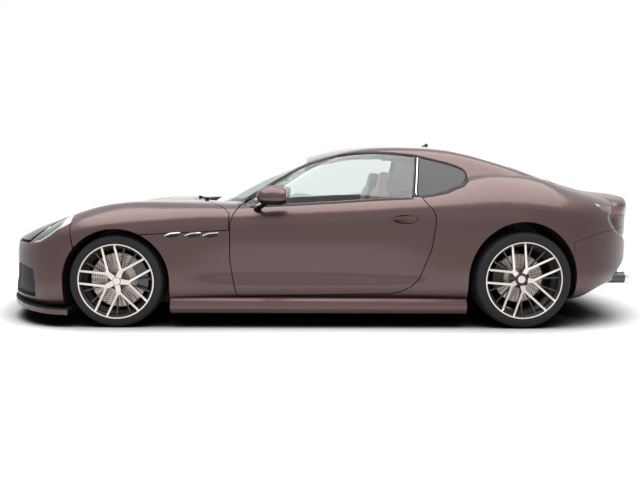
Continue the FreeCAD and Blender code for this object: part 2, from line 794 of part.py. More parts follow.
def make_rim(x, radius, width, track, flange, dish):
    """A rim with five stems that fork to ten spokes, on the left side of the car."""
    lip_y = -track - width / 2 * bead_half_share - seat_gap * 2 - lip_width
    face = -track - width / 2 + dish
    fork_y = face - dish * fork_rise_share + spoke_depth / 2
    edge_y = lip_y + spoke_tip_depth / 2
    tab_y = lip_y + tab_depth / 2
    pieces = [rim_barrel(x, radius, width, track, flange), rim_hub(x, radius, face)]
    for i in range(stem_count):
        stem = 360.0 / stem_count * i + first_stem_angle
        root = polar(x, radius, stem_root_radius, stem, face + stem_root_depth)
        fork = polar(x, radius, fork_radius + stem_width / 2, stem, fork_y)
        pieces.append(bar(root, fork, stem_width * stem_root_share, stem_width, stem_depth, spoke_depth))
        for lean in (-spoke_lean, spoke_lean):
            start = polar(x, radius, fork_radius, stem + lean * fork_spread_share, fork_y)
            end = polar(x, radius, flange - spoke_end_inset, stem + lean, edge_y)
            pieces.append(bar(start, end, spoke_root_width, spoke_tip_width, spoke_depth, spoke_tip_depth))
            start = polar(x, radius, flange - tab_start_inset, stem + lean, tab_y)
            end = polar(x, radius, flange - tab_end_inset, stem + lean, tab_y)
            pieces.append(bar(start, end, spoke_tip_width, spoke_tip_width, tab_depth, tab_depth))
            start = polar(x, radius, rib_root_radius, stem + lean * rib_root_share, face + rib_root_depth)
            end = polar(x, radius, flange - rib_end_inset, stem + lean * rib_lean_share,
                        edge_y + rib_setback)
            pieces.append(bar(start, end, rib_width, rib_width, rib_depth, rib_depth))
    return pieces[0].fuse(pieces[1:])


# Brake disc: radii, and depths behind the rim's hub
disc_face = 12.0
hat_radius = 70.0
hat_edge_radius = 74.0
hat_edge_depth = 10.0
hat_wall = 8.0
hat_inner_radius = 60.0
disc_front_depth = 30.0
disc_back_depth = 62.0

# Caliper and upright
caliper_reach = 20.0
caliper_clearance = 8.0
caliper_width = 68.0
caliper_cheek = 12.0
pad_reach = 62.0
caliper_half_angle = 32.0
caliper_corner_angle = 12.0
caliper_fan_share = 1.8
slot_overlap = 1.0
cut_overlap = 5.0
stub_radius = 52.0
stub_reach = 30.0
ball_below = 150.0
ball_above = 175.0
upright_setback = 15.0
upright_low_width = 90.0
upright_high_width = 70.0
upright_thickness = 30.0
bracket_setback = 6.0
bracket_reach = 10.0
bracket_root_width = 90.0
bracket_tip_width = 120.0
bracket_root_thickness = 34.0
bracket_tip_thickness = 14.0


def hub_face(width, track, dish):
    """Where the brake disc's mounting face ends, on the left side of the car."""
    return -track - width / 2 + dish + hub_depth + seat_gap + disc_face


def make_disc(x, radius, width, track, dish, disc_radius):
    """A brake disc with its hat, on the left side of the car."""
    profile = [(0.0, 0.0), (hat_radius, 0.0), (hat_edge_radius, hat_edge_depth),
               (hat_edge_radius, disc_front_depth), (disc_radius, disc_front_depth),
               (disc_radius, disc_back_depth), (hat_edge_radius - hat_wall, disc_back_depth),
               (hat_inner_radius, disc_face), (0.0, disc_face)]
    return turned(profile, x, radius, hub_face(width, track, dish) - disc_face)


def make_caliper(x, radius, width, track, dish, disc_radius, turn):
    """A caliper that reaches over the disc without touching it."""
    y0 = hub_face(width, track, dish)
    y1 = y0 + caliper_width
    outer = cylinder(x, radius, disc_radius + caliper_reach, y0, y1)
    hole = cylinder(x, radius, disc_radius - pad_reach, y0 - slot_overlap, y1 + slot_overlap)
    slot = cylinder(x, radius, disc_radius + caliper_clearance, y0 + caliper_cheek,
                    y1 - caliper_cheek + slot_overlap)
    body = outer.cut(hole).cut(slot)
    fan = [V(x, 0, radius)]
    for angle in (-caliper_half_angle, -caliper_corner_angle, caliper_corner_angle, caliper_half_angle):
        fan.append(polar(x, radius, disc_radius * caliper_fan_share, turn + angle, 0))
    return body.common(side_prism(fan, y0 - cut_overlap, y1 + cut_overlap))


def make_knuckle(x, radius, width, track, dish, disc_radius, turn):
    """The upright behind a wheel with its hub stub, ball joint bosses and caliper."""
    caliper = make_caliper(x, radius, width, track, dish, disc_radius, turn)
    y0 = hub_face(width, track, dish)
    y1 = y0 + caliper_width
    stub = cylinder(x, radius, stub_radius, y0 + seat_gap, y1 + stub_reach)
    plate_y = y1 + upright_setback
    plate = bar(V(x, plate_y, radius - ball_below), V(x, plate_y, radius + ball_above),
                upright_low_width, upright_high_width, upright_thickness, upright_thickness)
    bracket_y = y1 + bracket_setback
    bracket = bar(V(x, bracket_y, radius), polar(x, radius, disc_radius + bracket_reach, turn, bracket_y),
                  bracket_root_width, bracket_tip_width, bracket_root_thickness, bracket_tip_thickness)
    return stub.fuse([plate, bracket, caliper])


def upright_place(width, track, dish):
    """How far off the middle the upright and its ball joints lie."""
    return -hub_face(width, track, dish) - caliper_width - upright_setback


# The whole skin

def between(region, outer, inner):
    """The part of a region that lies between two nested hulls."""
    return region.common(outer).cut(inner)


end_sweep = 70.0
end_zone_length = 620.0
end_zone_high = 2000.0


def end_tool(profile_shares, plan_radius, inset, way):
    """The space inside the nose's or the tail's upright profile, bowed in plan."""
    line = [V(station(place) + way * inset, 0, height * roof_height)
            for height, place in profile_shares]
    curve = Part.BSplineCurve()
    curve.interpolate(line)
    end_x = -half_length if way > 0 else half_length
    foot = V(line[0].x, 0, 0)
    crest = V(line[-1].x, 0, side_cut_reach * 2)
    deep = V(end_x + way * plan_radius / 2, 0, crest.z)
    base = V(deep.x, 0, 0)
    corners = [line[-1], crest, deep, base, foot, line[0]]
    edges = [curve.toShape()]
    edges += [Part.makeLine(corners[i], corners[i + 1]) for i in range(len(corners) - 1)]
    face = Part.Face(Part.Wire(edges))
    axis = V(end_x + way * plan_radius, 0, 0)
    face.rotate(axis, V(0, 0, 1), -end_sweep)
    return face.revolve(axis, V(0, 0, 1), 2 * end_sweep)


def bowed_ends(hull, inset):
    """A lower hull with its nose and tail cut to their upright profiles."""
    front = end_tool(nose_profile_shares, nose_plan_radius, inset, 1)
    back = end_tool(tail_profile_shares, tail_plan_radius, inset, -1)
    low, high = -half_length * 2, half_length * 2
    front_zone = block(low, -half_length + end_zone_length, -side_cut_reach, side_cut_reach,
                       0, end_zone_high)
    back_zone = block(half_length - end_zone_length, high, -side_cut_reach, side_cut_reach,
                      0, end_zone_high)
    waste = front_zone.cut(front).fuse(back_zone.cut(back))
    return hull.cut(waste)


def hollow_skin():
    """The outer skin of the whole car with its wall thickness."""
    outer = bowed_ends(lower_hull(0, 0, 0), 0).fuse(greenhouse_hull(0))
    hollow = outer.cut(bowed_ends(lower_hull(door_wall, skin_wall, floor_wall), door_wall))
    hollow = hollow.cut(greenhouse_hull(pillar_wall))
    for end in ("front", "rear"):
        well = wheel_well(end, 0, well_inner, side_cut_reach)
        hollow = hollow.cut([well, across(well)])
    return hollow


def cavity():
    """Everything that lies inside the skin."""
    drawn = lower_hull(door_wall + seat_gap, skin_wall + seat_gap, floor_wall + seat_gap)
    return bowed_ends(drawn, door_wall + seat_gap)


def door_solid(skin):
    """The left door, cut from the skin along its shut line."""
    region = side_prism(shrunk(side_points(door_shares), shut_gap), -side_cut_reach, -door_inner)
    return region.common(skin)


def make_lamps(skin):
    """Both headlamps, cut from the skin."""
    return [p.common(skin) for p in both_sides(shrunk(side_points(lamp_edge_shares), seat_gap),
                                               lamp_inner + shut_gap + seat_gap, side_cut_reach)]


def compound(shapes):
    """One node from several solids."""
    solids = []
    for shape in shapes:
        solids.extend(shape.Solids)
    return Part.makeCompound(solids) if len(solids) > 1 else solids[0]


def biggest(shape):
    """The largest solid of a cut's result."""
    return max(shape.Solids, key=lambda s: s.Volume)


# Hinge of the boot lid
barrel_place = 120.0
barrel_half = 25.0
barrel_radius = 5.4
barrel_sink = 2.0
barrel_reach = 5.0


def both_ways(points, near=-side_cut_reach, far=side_cut_reach):
    """The side prism right across the car."""
    return side_prism(points, near, far)


def build_glass(nodes):
    """Every pane, cut from between two nested hulls."""
    outside = greenhouse_hull(glass_inset)
    inside = greenhouse_hull(glass_inset + glass_thickness)
    front = loop_prism(shrunk_plan(screen_outline, seat_gap), screen_low, cut_top)
    back = loop_prism(shrunk_plan(rear_screen_outline, seat_gap), rear_screen_low, cut_top)
    sides = both_sides(shrunk(side_points(quarter_window_shares), seat_gap), window_inner,
                       side_cut_reach)
    door_pane = side_prism(shrunk(sunk_window(), shut_gap), -side_cut_reach, -window_inner)
    nodes["windscreen"] = biggest(between(front, outside, inside))
    nodes["rear_window"] = biggest(between(back, outside, inside))
    nodes["quarter_glass"] = compound([between(side, outside, inside) for side in sides])
    nodes["door_glass_left"] = biggest(between(door_pane, outside, inside))


def sunk_window():
    """The door window's outline with its lower edge let into the door."""
    return [V(p.x, 0, p.z - (pane_sink if p.z < belt_share * roof_height else 0.0))
            for p in side_points(front_window_shares)]


def pane_slot():
    """The slot in the left door that holds its pane with a little room."""
    region = side_prism(shrunk(sunk_window(), shut_gap - seat_gap), -side_cut_reach, -window_inner)
    return between(region, greenhouse_hull(glass_inset - seat_gap),
                   greenhouse_hull(glass_inset + glass_thickness + seat_gap))


def bonnet_zone(gap, lamp_gap):
    """The region of the clamshell bonnet, drawn in by a gap, without the headlamps' corners."""
    zone = both_ways(shrunk(side_points(bonnet_edge_shares), gap) if gap
                     else side_points(bonnet_edge_shares))
    zone = zone.common(plan_prism(bonnet_plan(-gap), 0, cut_top))
    corner = side_points(lamp_top_shares)
    if gap:
        corner = shrunk(corner, -gap)
    for side in both_sides(corner, lamp_inner + lamp_gap, side_cut_reach):
        zone = zone.cut(side)
    return zone


def hinge_barrels(room):
    """The boot lid's two hinge barrels, grown by some room."""
    axis_z = roof_at(boot_axis_x, 0, 0) - barrel_sink
    return mirrored([cylinder(boot_axis_x, axis_z, barrel_radius + room,
                              barrel_place - barrel_half - room, barrel_place + barrel_half + room)])


def make_boot_lid(skin):
    """The boot lid with its hinge barrels."""
    low = lid_low_share * roof_height
    zone = loop_prism(shrunk_plan(boot_lid_outline, shut_gap), low, cut_top)
    lid = biggest(zone.common(skin))
    lid = lid.cut(block(0, boot_axis_x + barrel_reach, -side_cut_reach, side_cut_reach,
                        0, end_zone_high))
    return lid.fuse(hinge_barrels(0.0))


def window_holes():
    """Everything that is cut out of the greenhouse for its panes."""
    holes = [loop_prism(full_loop(screen_outline), screen_hole_low, cut_top),
             loop_prism(full_loop(rear_screen_outline), rear_screen_low, cut_top)]
    holes += both_sides(side_points(quarter_window_shares), window_inner, side_cut_reach)
    holes += both_sides(side_points(front_window_shares), window_inner, side_cut_reach)
    return holes


def panel_holes():
    """Everything that is cut out of the skin for the panels and lamps that lie in it."""
    lid_low = lid_low_share * roof_height - shut_gap
    bumper = side_points(bumper_edge_shares)
    holes = [bonnet_zone(0, shut_gap), loop_prism(full_loop(boot_lid_outline), lid_low, cut_top)]
    holes += both_sides(side_points(door_shares), door_inner, side_cut_reach)
    holes += both_sides(side_points(lamp_edge_shares), lamp_inner + shut_gap, side_cut_reach)
    holes += both_sides(side_points(tail_lamp_shares), tail_lamp_inner, side_cut_reach)
    holes.append(both_ways(shrunk(bumper, -fixed_gap)))
    holes.append(both_ways(side_points(rear_bumper_shares)))
    return holes


def build_panels(nodes, skin):
    """Bonnet, boot lid, left door, bumpers and lamps, each cut from the skin."""
    nodes["bonnet"] = biggest(bonnet_zone(shut_gap, 0).common(skin))
    nodes["boot_lid"] = make_boot_lid(skin)
    nodes["door_left"] = biggest(door_solid(skin).cut(pane_slot()))
    nodes["headlamps"] = compound([biggest(lamp) for lamp in make_lamps(skin)])
    tail_pair = both_sides(shrunk(side_points(tail_lamp_shares), seat_gap), tail_lamp_inner,
                           side_cut_reach)
    nodes["tail_lamps"] = compound([side.common(skin) for side in tail_pair])
    front = both_ways(shrunk(side_points(bumper_edge_shares), bumper_gap))
    high = side_prism(side_points(bonnet_middle_shares), -lamp_inner - lamp_overlap,
                      lamp_inner + lamp_overlap)
    nodes["front_bumper"] = biggest(front.common(skin).cut(high))
    back = both_ways(shrunk(side_points(rear_bumper_shares), fixed_gap))
    nodes["rear_bumper"] = biggest(back.common(skin))


def build_body():
    """All nodes cut from the skin."""
    nodes = {}
    skin = hollow_skin()
    build_glass(nodes)
    build_panels(nodes, skin)
    rest = skin
    for hole in window_holes() + panel_holes():
        rest = rest.cut(hole)
    nodes["floorpan"] = rest.common(floor_zone())
    rest = rest.cut(slab(station(splitter_end_share), station(rear_bumper_share), floor_zone_half,
                         0, floor_zone_high))
    for notch in hinge_barrels(seat_gap):
        rest = rest.cut(notch)
    nodes["body_shell"] = biggest(rest)
    return nodes


def build_wheels():
    """Tyres, rims, discs and knuckles on both sides."""
    nodes = {}
    sides = {"front": ("fl", "fr", front_disc_radius, caliper_turn),
             "rear": ("rl", "rr", rear_disc_radius, -caliper_turn)}
    for end, x, radius, width, track, flange, dish in wheel_sets:
        left, right, disc_radius, turn = sides[end]
        made = {
            "tyre": make_tyre(x, radius, width, track, flange),
            "rim": make_rim(x, radius, width, track, flange, dish),
            "brake_disc": make_disc(x, radius, width, track, dish, disc_radius),
            "knuckle": make_knuckle(x, radius, width, track, dish, disc_radius, turn),
        }
        for name, shape in made.items():
            nodes[name + "_" + left] = shape
            nodes[name + "_" + right] = across(shape)
    return nodes



# Chassis
panel_reach = 900.0
panel_low = 150.0
firewall_x = station(0.222)
firewall_wall = 24.0
firewall_high = 862.0
bulkhead_x = station(0.853)
bulkhead_wall = 20.0
bulkhead_high = 800.0
tunnel_half = 125.0
tunnel_high = 372.0
rail_inner = 380.0
rail_outer = 440.0
rail_low = 300.0
rail_high = 400.0
front_rail_start = -2310.0
front_rail_gap = 10.0
rear_rail_gap = 5.0
rear_rail_low = 380.0
rear_rail_high = 440.0
rear_rail_end = 2330.0
boot_floor_low = 430.0
boot_floor_wall = 18.0
front_beam_start = -2360.0
front_beam_depth = 60.0
front_beam_half = 560.0
rear_beam_start = 2290.0
rear_beam_depth = 82.0
rear_beam_half = 480.0
rear_beam_high = 500.0
engine_start = -1780.0
engine_length = 700.0
engine_half_width = 250.0
engine_low = 228.0
engine_high = 640.0
engine_arm_start = -1430.0
engine_arm_length = 100.0
engine_arm_low = 315.0
engine_arm_high = 355.0
engine_arm_root = 10.0
liner_gap = 2.0
liner_reach = 930.0
shaft_window_half = 150.0
shaft_window_low = 130.0
shaft_window_high = 570.0
shaft_window_start = 480.0
shaft_window_wall = 5.0
bonnet_clearance = 4.0
rest_start = -2014.0
rest_length = 24.0
rest_inset = 12.0
rest_root = 10.0
rest_high = 900.0
floor_zone_half = 700.0
floor_zone_high = 330.0
floor_root = 12.0


def mirrored(shapes):
    """The shapes and their mirror images."""
    return list(shapes) + [across(s) for s in shapes]


def slab(x0, x1, half, z0, z1):
    """A plain box that lies evenly about the car's middle."""
    return block(x0, x1, -half, half, z0, z1)


def arch_liner(end):
    """The skin inside one wheel arch on the +Y side, with a window for the arms."""
    liner = wheel_well(end, liner_gap + liner_wall, well_inner - liner_wall, liner_reach)
    liner = liner.cut(wheel_well(end, liner_gap, well_inner, liner_reach + cut_overlap))
    x = front_axle_x if end == "front" else rear_axle_x
    return liner.cut(block(x - shaft_window_half, x + shaft_window_half, shaft_window_start,
                           well_inner + shaft_window_wall, shaft_window_low, shaft_window_high))


def bonnet_rest():
    """The post on the left rail that the bonnet's underside lies on."""
    return block(rest_start, rest_start + rest_length, rail_inner + rest_inset,
                 rail_outer - rest_inset, rail_high - rest_root, rest_high)


def build_chassis(inner):
    """Firewall, tunnel, rails, crash beams, boot floor and arch liners."""
    plates = [slab(firewall_x - firewall_wall, firewall_x, panel_reach, panel_low, firewall_high),
              slab(bulkhead_x, bulkhead_x + bulkhead_wall, panel_reach, panel_low, bulkhead_high),
              slab(firewall_x, bulkhead_x, tunnel_half, panel_low, tunnel_high),
              slab(bulkhead_x, rear_rail_end, rail_outer, boot_floor_low,
                   boot_floor_low + boot_floor_wall),
              slab(front_beam_start, front_beam_start + front_beam_depth, front_beam_half,
                   rail_low, rail_high),
              slab(rear_beam_start, rear_beam_start + rear_beam_depth, rear_beam_half,
                   boot_floor_low, rear_beam_high)]
    rails = [block(front_rail_start, firewall_x - front_rail_gap, rail_inner, rail_outer,
                   rail_low, rail_high),
             block(bulkhead_x + rear_rail_gap, rear_rail_end, rail_inner, rail_outer,
                   rear_rail_low, rear_rail_high),
             block(engine_arm_start, engine_arm_start + engine_arm_length,
                   engine_half_width + seat_gap, rail_inner + engine_arm_root,
                   engine_arm_low, engine_arm_high)]
    rails += [arch_liner("front"), arch_liner("rear")]
    whole = plates[0].fuse(plates[1:] + mirrored(rails))
    under_bonnet = side_prism(side_points(bonnet_edge_shares), -side_cut_reach, side_cut_reach)
    under_bonnet = under_bonnet.cut(lower_hull(door_wall + bonnet_clearance,
                                               skin_wall + bonnet_clearance, 0))
    whole = whole.cut(under_bonnet).fuse(mirrored([bonnet_rest()]))
    rooted = whole.common(floor_zone()).common(lower_hull(door_wall, skin_wall, floor_wall - floor_root))
    return whole.common(inner).fuse(rooted)


def floor_zone():
    """The box that holds the flat underside between the sills."""
    return slab(station(splitter_end_share), bulkhead_x + bulkhead_wall, floor_zone_half,
                0, floor_zone_high)


def bar3(p0, p1, radius):
    """A round bar between any two points."""
    way = p1 - p0
    return Part.makeCylinder(radius, way.Length, p0, way)


# Suspension: heights are told from the ball joints
cross_member_half = 170.0
cross_member_reach = 470.0
cross_member_below = 10.0
cross_member_above = 18.0
post_half = 40.0
post_inner = 385.0
post_outer = 435.0
post_rise = 10.0
tower_half = 60.0
tower_wall = 22.0
tower_above = 30.0
low_arm_spread = 140.0
low_arm_root = 460.0
low_arm_root_drop = 2.0
low_arm_tip_inset = 10.0
low_arm_tip_drop = 28.0
low_arm_radius = 13.0
low_ball_radius = 22.0
low_ball_drop = 30.0
high_arm_spread = 50.0
high_arm_root = 15.0
high_arm_root_rise = 8.0
high_arm_tip_inset = 12.0
high_arm_tip_rise = 16.0
high_arm_radius = 11.0
high_ball_radius = 20.0
ball_height = 20.0
damper_place = 590.0
damper_foot_drop = 8.0
damper_radius = 26.0
front_damper_gap = 6.0
rear_damper_gap = 8.0
boss_radius = 18.0
boss_height = 50.0
boss_drop = 10.0


def suspension(end, x, radius, ball_y):
    """Cross member, arms and dampers of one axle."""
    low = radius - ball_below
    high = radius + ball_above
    if end == "front":
        damper_top = radius + front_arch_radius - front_damper_gap
    else:
        damper_top = radius + rear_arch_height - rear_damper_gap
    member = slab(x - cross_member_half, x + cross_member_half, cross_member_reach,
                  low - cross_member_below, low + cross_member_above)
    half = [block(x - post_half, x + post_half, post_inner, post_outer, low + post_rise,
                  rail_low - seat_gap),
            block(x - tower_half, x + tower_half, rail_outer + seat_gap, rail_outer + tower_wall,
                  low + post_rise, high + tower_above)]
    low_tip = V(x, ball_y - low_arm_tip_inset, low - low_arm_tip_drop)
    for spread in (-low_arm_spread, low_arm_spread):
        half.append(bar3(V(x + spread, low_arm_root, low - low_arm_root_drop), low_tip, low_arm_radius))
    half.append(Part.makeCylinder(low_ball_radius, ball_height,
                                  V(x, ball_y, low - low_ball_drop - seat_gap)))
    high_tip = V(x, ball_y - high_arm_tip_inset, high + high_arm_tip_rise)
    for spread in (-high_arm_spread, high_arm_spread):
        half.append(bar3(V(x + spread, rail_outer + high_arm_root, high + high_arm_root_rise),
                         high_tip, high_arm_radius))
    half.append(Part.makeCylinder(high_ball_radius, ball_height, V(x, ball_y, high + seat_gap)))
    half.append(bar3(V(x, damper_place, low - damper_foot_drop), V(x, damper_place, damper_top),
                     damper_radius))
    return member.fuse(mirrored(half))


def knuckle_with_joints(x, radius, knuckle, ball_y):
    """The upright with its upper and lower ball joint bosses."""
    low = V(x, -ball_y, radius - ball_below - boss_drop)
    high = V(x, -ball_y, radius + ball_above - boss_height)
    return knuckle.fuse([Part.makeCylinder(boss_radius, boss_height, low),
                         Part.makeCylinder(boss_radius, boss_height, high)])


# Seats
seat_y = 385.0
seat_front = -190.0
seat_width = 490.0
cushion_length = 500.0
cushion_low = 330.0
cushion_high = 470.0
cushion_round = 28.0
foot_front_inset = 60.0
foot_side_inset = 60.0
foot_high = 350.0
floor_top = 172.0
foot_root = 30.0
back_side_inset = 15.0
back_round = 22.0
headrest_half = 125.0
headrest_round = 18.0
back_outline = ((410.0, 380.0), (540.0, 350.0), (680.0, 980.0), (600.0, 1010.0))
headrest_outline = ((605.0, 990.0), (670.0, 970.0), (715.0, 1120.0), (640.0, 1140.0))

# Rear seat
rear_cushion_front = 600.0
rear_cushion_length = 360.0
rear_cushion_half = 560.0
rear_cushion_round = 26.0
rear_leg_front = 640.0
rear_leg_length = 300.0
rear_leg_inner = 180.0
rear_leg_outer = 520.0
rear_back_front = 900.0
rear_back_low = 420.0
rear_back_lean = 50.0
rear_back_high = 790.0
rear_back_crest = 830.0
rear_back_half = 540.0


def rounded(shape, radius):
    """A shape with all its edges rounded."""
    return shape.makeFillet(radius, shape.Edges)


def above_floor(shape):
    """The part of a shape that stands on the cabin's floor."""
    return shape.common(lower_hull(door_wall, skin_wall, floor_wall + seat_gap))


def seat_outline(points):
    """Side-view points from distances behind the cushion's front and off the ground."""
    return [V(seat_front + behind, 0, height) for behind, height in points]


def front_seat():
    """The left front seat: cushion, leaning back and headrest in one body."""
    near = -seat_y - seat_width / 2
    far = -seat_y + seat_width / 2
    base = rounded(block(seat_front, seat_front + cushion_length, near, far,
                         cushion_low, cushion_high), cushion_round)
    foot = above_floor(block(seat_front + foot_front_inset,
                             seat_front + cushion_length - foot_front_inset,
                             near + foot_side_inset, far - foot_side_inset,
                             floor_top - foot_root, foot_high))
    back = side_prism(seat_outline(back_outline), near + back_side_inset, far - back_side_inset)
    rest = side_prism(seat_outline(headrest_outline), -seat_y - headrest_half,
                      -seat_y + headrest_half)
    return base.fuse([foot, rounded(back, back_round), rounded(rest, headrest_round)])


def rear_seat():
    """The rear bench with its back."""
    cushion = slab(rear_cushion_front, rear_cushion_front + rear_cushion_length, rear_cushion_half,
                   tunnel_high + seat_gap, cushion_high)
    leg = above_floor(block(rear_leg_front, rear_leg_front + rear_leg_length, rear_leg_inner,
                            rear_leg_outer, floor_top - foot_root, rail_high))
    behind = bulkhead_x - seat_gap
    back = side_prism([V(rear_back_front, 0, rear_back_low), V(behind, 0, rear_back_low),
                       V(behind, 0, rear_back_high),
                       V(rear_back_front + rear_back_lean, 0, rear_back_crest)],
                      -rear_back_half, rear_back_half)
    return rounded(cushion, rear_cushion_round).fuse([back] + mirrored([leg]))


# Dashboard and steering wheel
dash_half = 630.0
dash_low = 560.0
dash_screen_high = 825.0
dash_top_x = -700.0
dash_top_high = 842.0
dash_brow_x = -500.0
dash_brow_high = 838.0
dash_face_x = -430.0
dash_face_high = 790.0
dash_knee_x = -440.0
dash_knee_high = 700.0
dash_foot_x = -560.0
console_front = -600.0
console_rear = 560.0
console_half = 118.0
console_high = 520.0
stack_front = -560.0
stack_rear = -480.0
stack_high = 640.0
hand_wheel_x = -250.0
hand_wheel_z = 800.0
hand_wheel_radius = 178.0
hand_grip_radius = 15.0
hand_spoke_reach = 172.0
hand_spoke_radius = 11.0
boss_hub_radius = 48.0
boss_hub_depth = 34.0
boss_hub_setback = 20.0
column_radius = 30.0
column_root_x = -442.0
column_root_z = 720.0
column_way_shares = (0.92, 0.38)


def dash_body():
    """The dashboard's own solid, without the console."""
    start = firewall_x + seat_gap
    return side_prism([V(start, 0, dash_low), V(start, 0, dash_screen_high),
                       V(dash_top_x, 0, dash_top_high), V(dash_brow_x, 0, dash_brow_high),
                       V(dash_face_x, 0, dash_face_high), V(dash_knee_x, 0, dash_knee_high),
                       V(dash_foot_x, 0, dash_low)], -dash_half, dash_half)


def steering_wheel():
    """The wheel's ring, spokes, boss and column, cut clear of the dashboard."""
    hub = V(hand_wheel_x, -seat_y, hand_wheel_z)
    axis = V(column_way_shares[0], 0, column_way_shares[1])
    back = hub - axis * boss_hub_setback
    reach = V(0, hand_spoke_reach, 0)
    ring = Part.makeTorus(hand_wheel_radius, hand_grip_radius, hub, axis)
    column = bar3(back, V(column_root_x, -seat_y, column_root_z), column_radius)
    boss = Part.makeCylinder(boss_hub_radius, boss_hub_depth, back, axis)
    spokes = bar3(hub - reach, hub + reach, hand_spoke_radius)
    return ring.fuse([column, boss, spokes]).cut(dash_body())


def build_interior():
    """Seats, dashboard and steering wheel."""
    nodes = {}
    left = front_seat()
    nodes["front_seats"] = compound([left, across(left)])
    nodes["rear_seat"] = rear_seat()
    console = slab(console_front, console_rear, console_half, tunnel_high + seat_gap, console_high)
    stack = slab(stack_front, stack_rear, console_half, tunnel_high + seat_gap, stack_high)
    nodes["dashboard"] = dash_body().fuse([console, stack])
    nodes["steering_wheel"] = steering_wheel()
    return nodes


# Nose: mouth, corner intakes and splitter
nose_cut_start = -2600.0
mouth_outline = ((-330.0, 250.0), (-250.0, 205.0), (250.0, 205.0), (330.0, 250.0), (345.0, 400.0),
                 (270.0, 500.0), (-270.0, 500.0), (-345.0, 400.0))
mouth_depth = 330.0
mouth_middle = 352.0
grille_frame_shares = (0.93, 0.90)
grille_start = -2440.0
grille_depth = 60.0
grille_half = 400.0
grille_zone_high = 900.0
vane_count = 13
vane_pitch = 48.0
vane_half = 6.0
vane_start = -2432.0
vane_depth = 36.0
vane_low = 215.0
vane_high = 492.0
rail_vane_start = -2426.0
rail_vane_depth = 40.0
rail_vane_half = 335.0
rail_vane_low = 340.0
rail_vane_high = 352.0
intake_outline = ((-2600.0, 205.0), (-2098.0, 205.0), (-2090.0, 300.0), (-2108.0, 410.0),
                  (-2240.0, 440.0), (-2600.0, 395.0))
intake_inner = 500.0
intake_outer = 1000.0
intake_wall = 25.0
intake_roof = 10.0
intake_floor = 20.0
lip_reach = 8.0
lip_thickness = 34.0
lip_steps = 12
lip_ease = 1.8
lip_zone_high = 400.0
lip_under_shares = ((-1.1, 0.112), (-0.98, 0.104), (-0.90, 0.094), (-0.72, 0.080), (-0.50, 0.070),
                    (-0.34, 0.068))


def front_prism(outline, start, depth):
    """A solid with an outline seen from the front, as (y, z), from one place along the car."""
    loop = [V(start, y, z) for y, z in outline]
    return Part.Face(Part.makePolygon(loop + [loop[0]])).extrude(V(depth, 0, 0))


def make_grille(zone):
    """The mouth's frame with its upright vanes and one rail, within a zone of the nose."""
    slot = slab(grille_start, grille_start + grille_depth, grille_half,
                0, grille_zone_high)
    plate = zone.common(slot)
    wide, tall = grille_frame_shares
    inner = [(y * wide, mouth_middle + (z - mouth_middle) * tall) for y, z in mouth_outline]
    frame = plate.cut(front_prism(inner, nose_cut_start, mouth_depth))
    bars = []
    for i in range(vane_count):
        y = (i - vane_count // 2) * vane_pitch
        bars.append(block(vane_start, vane_start + vane_depth, y - vane_half, y + vane_half,
                          vane_low, vane_high))
    bars.append(slab(rail_vane_start, rail_vane_start + rail_vane_depth, rail_vane_half,
                     rail_vane_low, rail_vane_high))
    return frame.fuse([b.common(plate) for b in bars])


def make_splitter():
    """The lip under the nose, rounded in plan and rising to its tip."""
    nose_start = station(nose_start_share)
    middle = nose_plan_radius - half_length
    plan = [(-half_length, 0.0)]
    for i in range(lip_steps + 1):
        x = -half_length + (nose_start + half_length) * (i / lip_steps) ** lip_ease
        side = side_width(x) * end_narrowing(x, -lip_reach)
        bow = math.sqrt(max(0.0, nose_plan_radius ** 2 - (x - middle) ** 2))
        plan.append((x, min(side, bow)))
    plan.append((nose_start, 0.0))
    under = side_points(lip_under_shares)
    over = [p + V(0, 0, lip_thickness) for p in reversed(under)]
    return plan_prism(plan, 0, lip_zone_high).common(
        side_prism(under + over, -side_cut_reach, side_cut_reach))


def build_nose(nodes):
    """Grille, corner intakes and splitter, cut from the front bumper."""
    bumper = nodes["front_bumper"]
    mouth = front_prism(mouth_outline, nose_cut_start, mouth_depth)
    side_mouth = side_prism([V(x, 0, z) for x, z in intake_outline], -intake_outer, -intake_inner)
    pocket = bowed_ends(lower_hull(intake_wall, intake_roof, intake_floor), intake_wall)
    inset = biggest(side_mouth.common(bumper).common(pocket))
    grille = make_grille(mouth.common(bumper))
    nodes["front_grille"] = compound([grille] + mirrored([inset]))
    nodes["front_splitter"] = make_splitter()
    opened = biggest(bumper.cut([mouth] + mirrored([side_mouth])))
    nodes["front_bumper"] = biggest(opened.cut(nodes["front_splitter"]))


# Sides: door stops, skirts, mirrors, handles and vents
stop_start = 742.0
stop_end = 815.0
stop_root = 33.0
stop_inner = 780.0
stop_outer = 900.0
stop_low = 600.0
stop_high = 650.0
stop_wall = 12.0
stop_overlap = 2.0
skirt_start = -1118.0
skirt_end = 1018.0
skirt_outline = ((800.0, 98.0), (918.0, 98.0), (944.0, 112.0), (956.0, 140.0), (956.0, 168.0),
                 (944.0, 196.0), (924.0, 212.0), (800.0, 212.0))
cap_x = -385.0
cap_y = -1010.0
cap_z = 950.0
cap_half_length = 116.0
cap_half_width = 88.0
cap_half_height = 74.0
cap_front = -520.0
cap_glass_x = -292.0
cap_inner_y = -900.0
cap_outer_y = -1100.0
cap_low = 892.0
cap_high = 1100.0
stalk_top_x = -430.0
stalk_top_y = -990.0
stalk_top_z = 905.0
stalk_foot_x = -500.0
stalk_foot_y = -868.0
stalk_foot_z = 853.0
stalk_radius = 17.0
base_x = -488.0
base_y = -915.0
base_z = 868.0
base_tip_radius = 14.0
base_root_radius = 30.0
base_length = 54.0
base_lean_x = -14.0
base_lean_z = -18.0
handle_x = 558.0
handle_z = 800.0
pocket_z = 790.0
pocket_proud = 6.0
pocket_half_length = 92.0
pocket_half_depth = 26.0
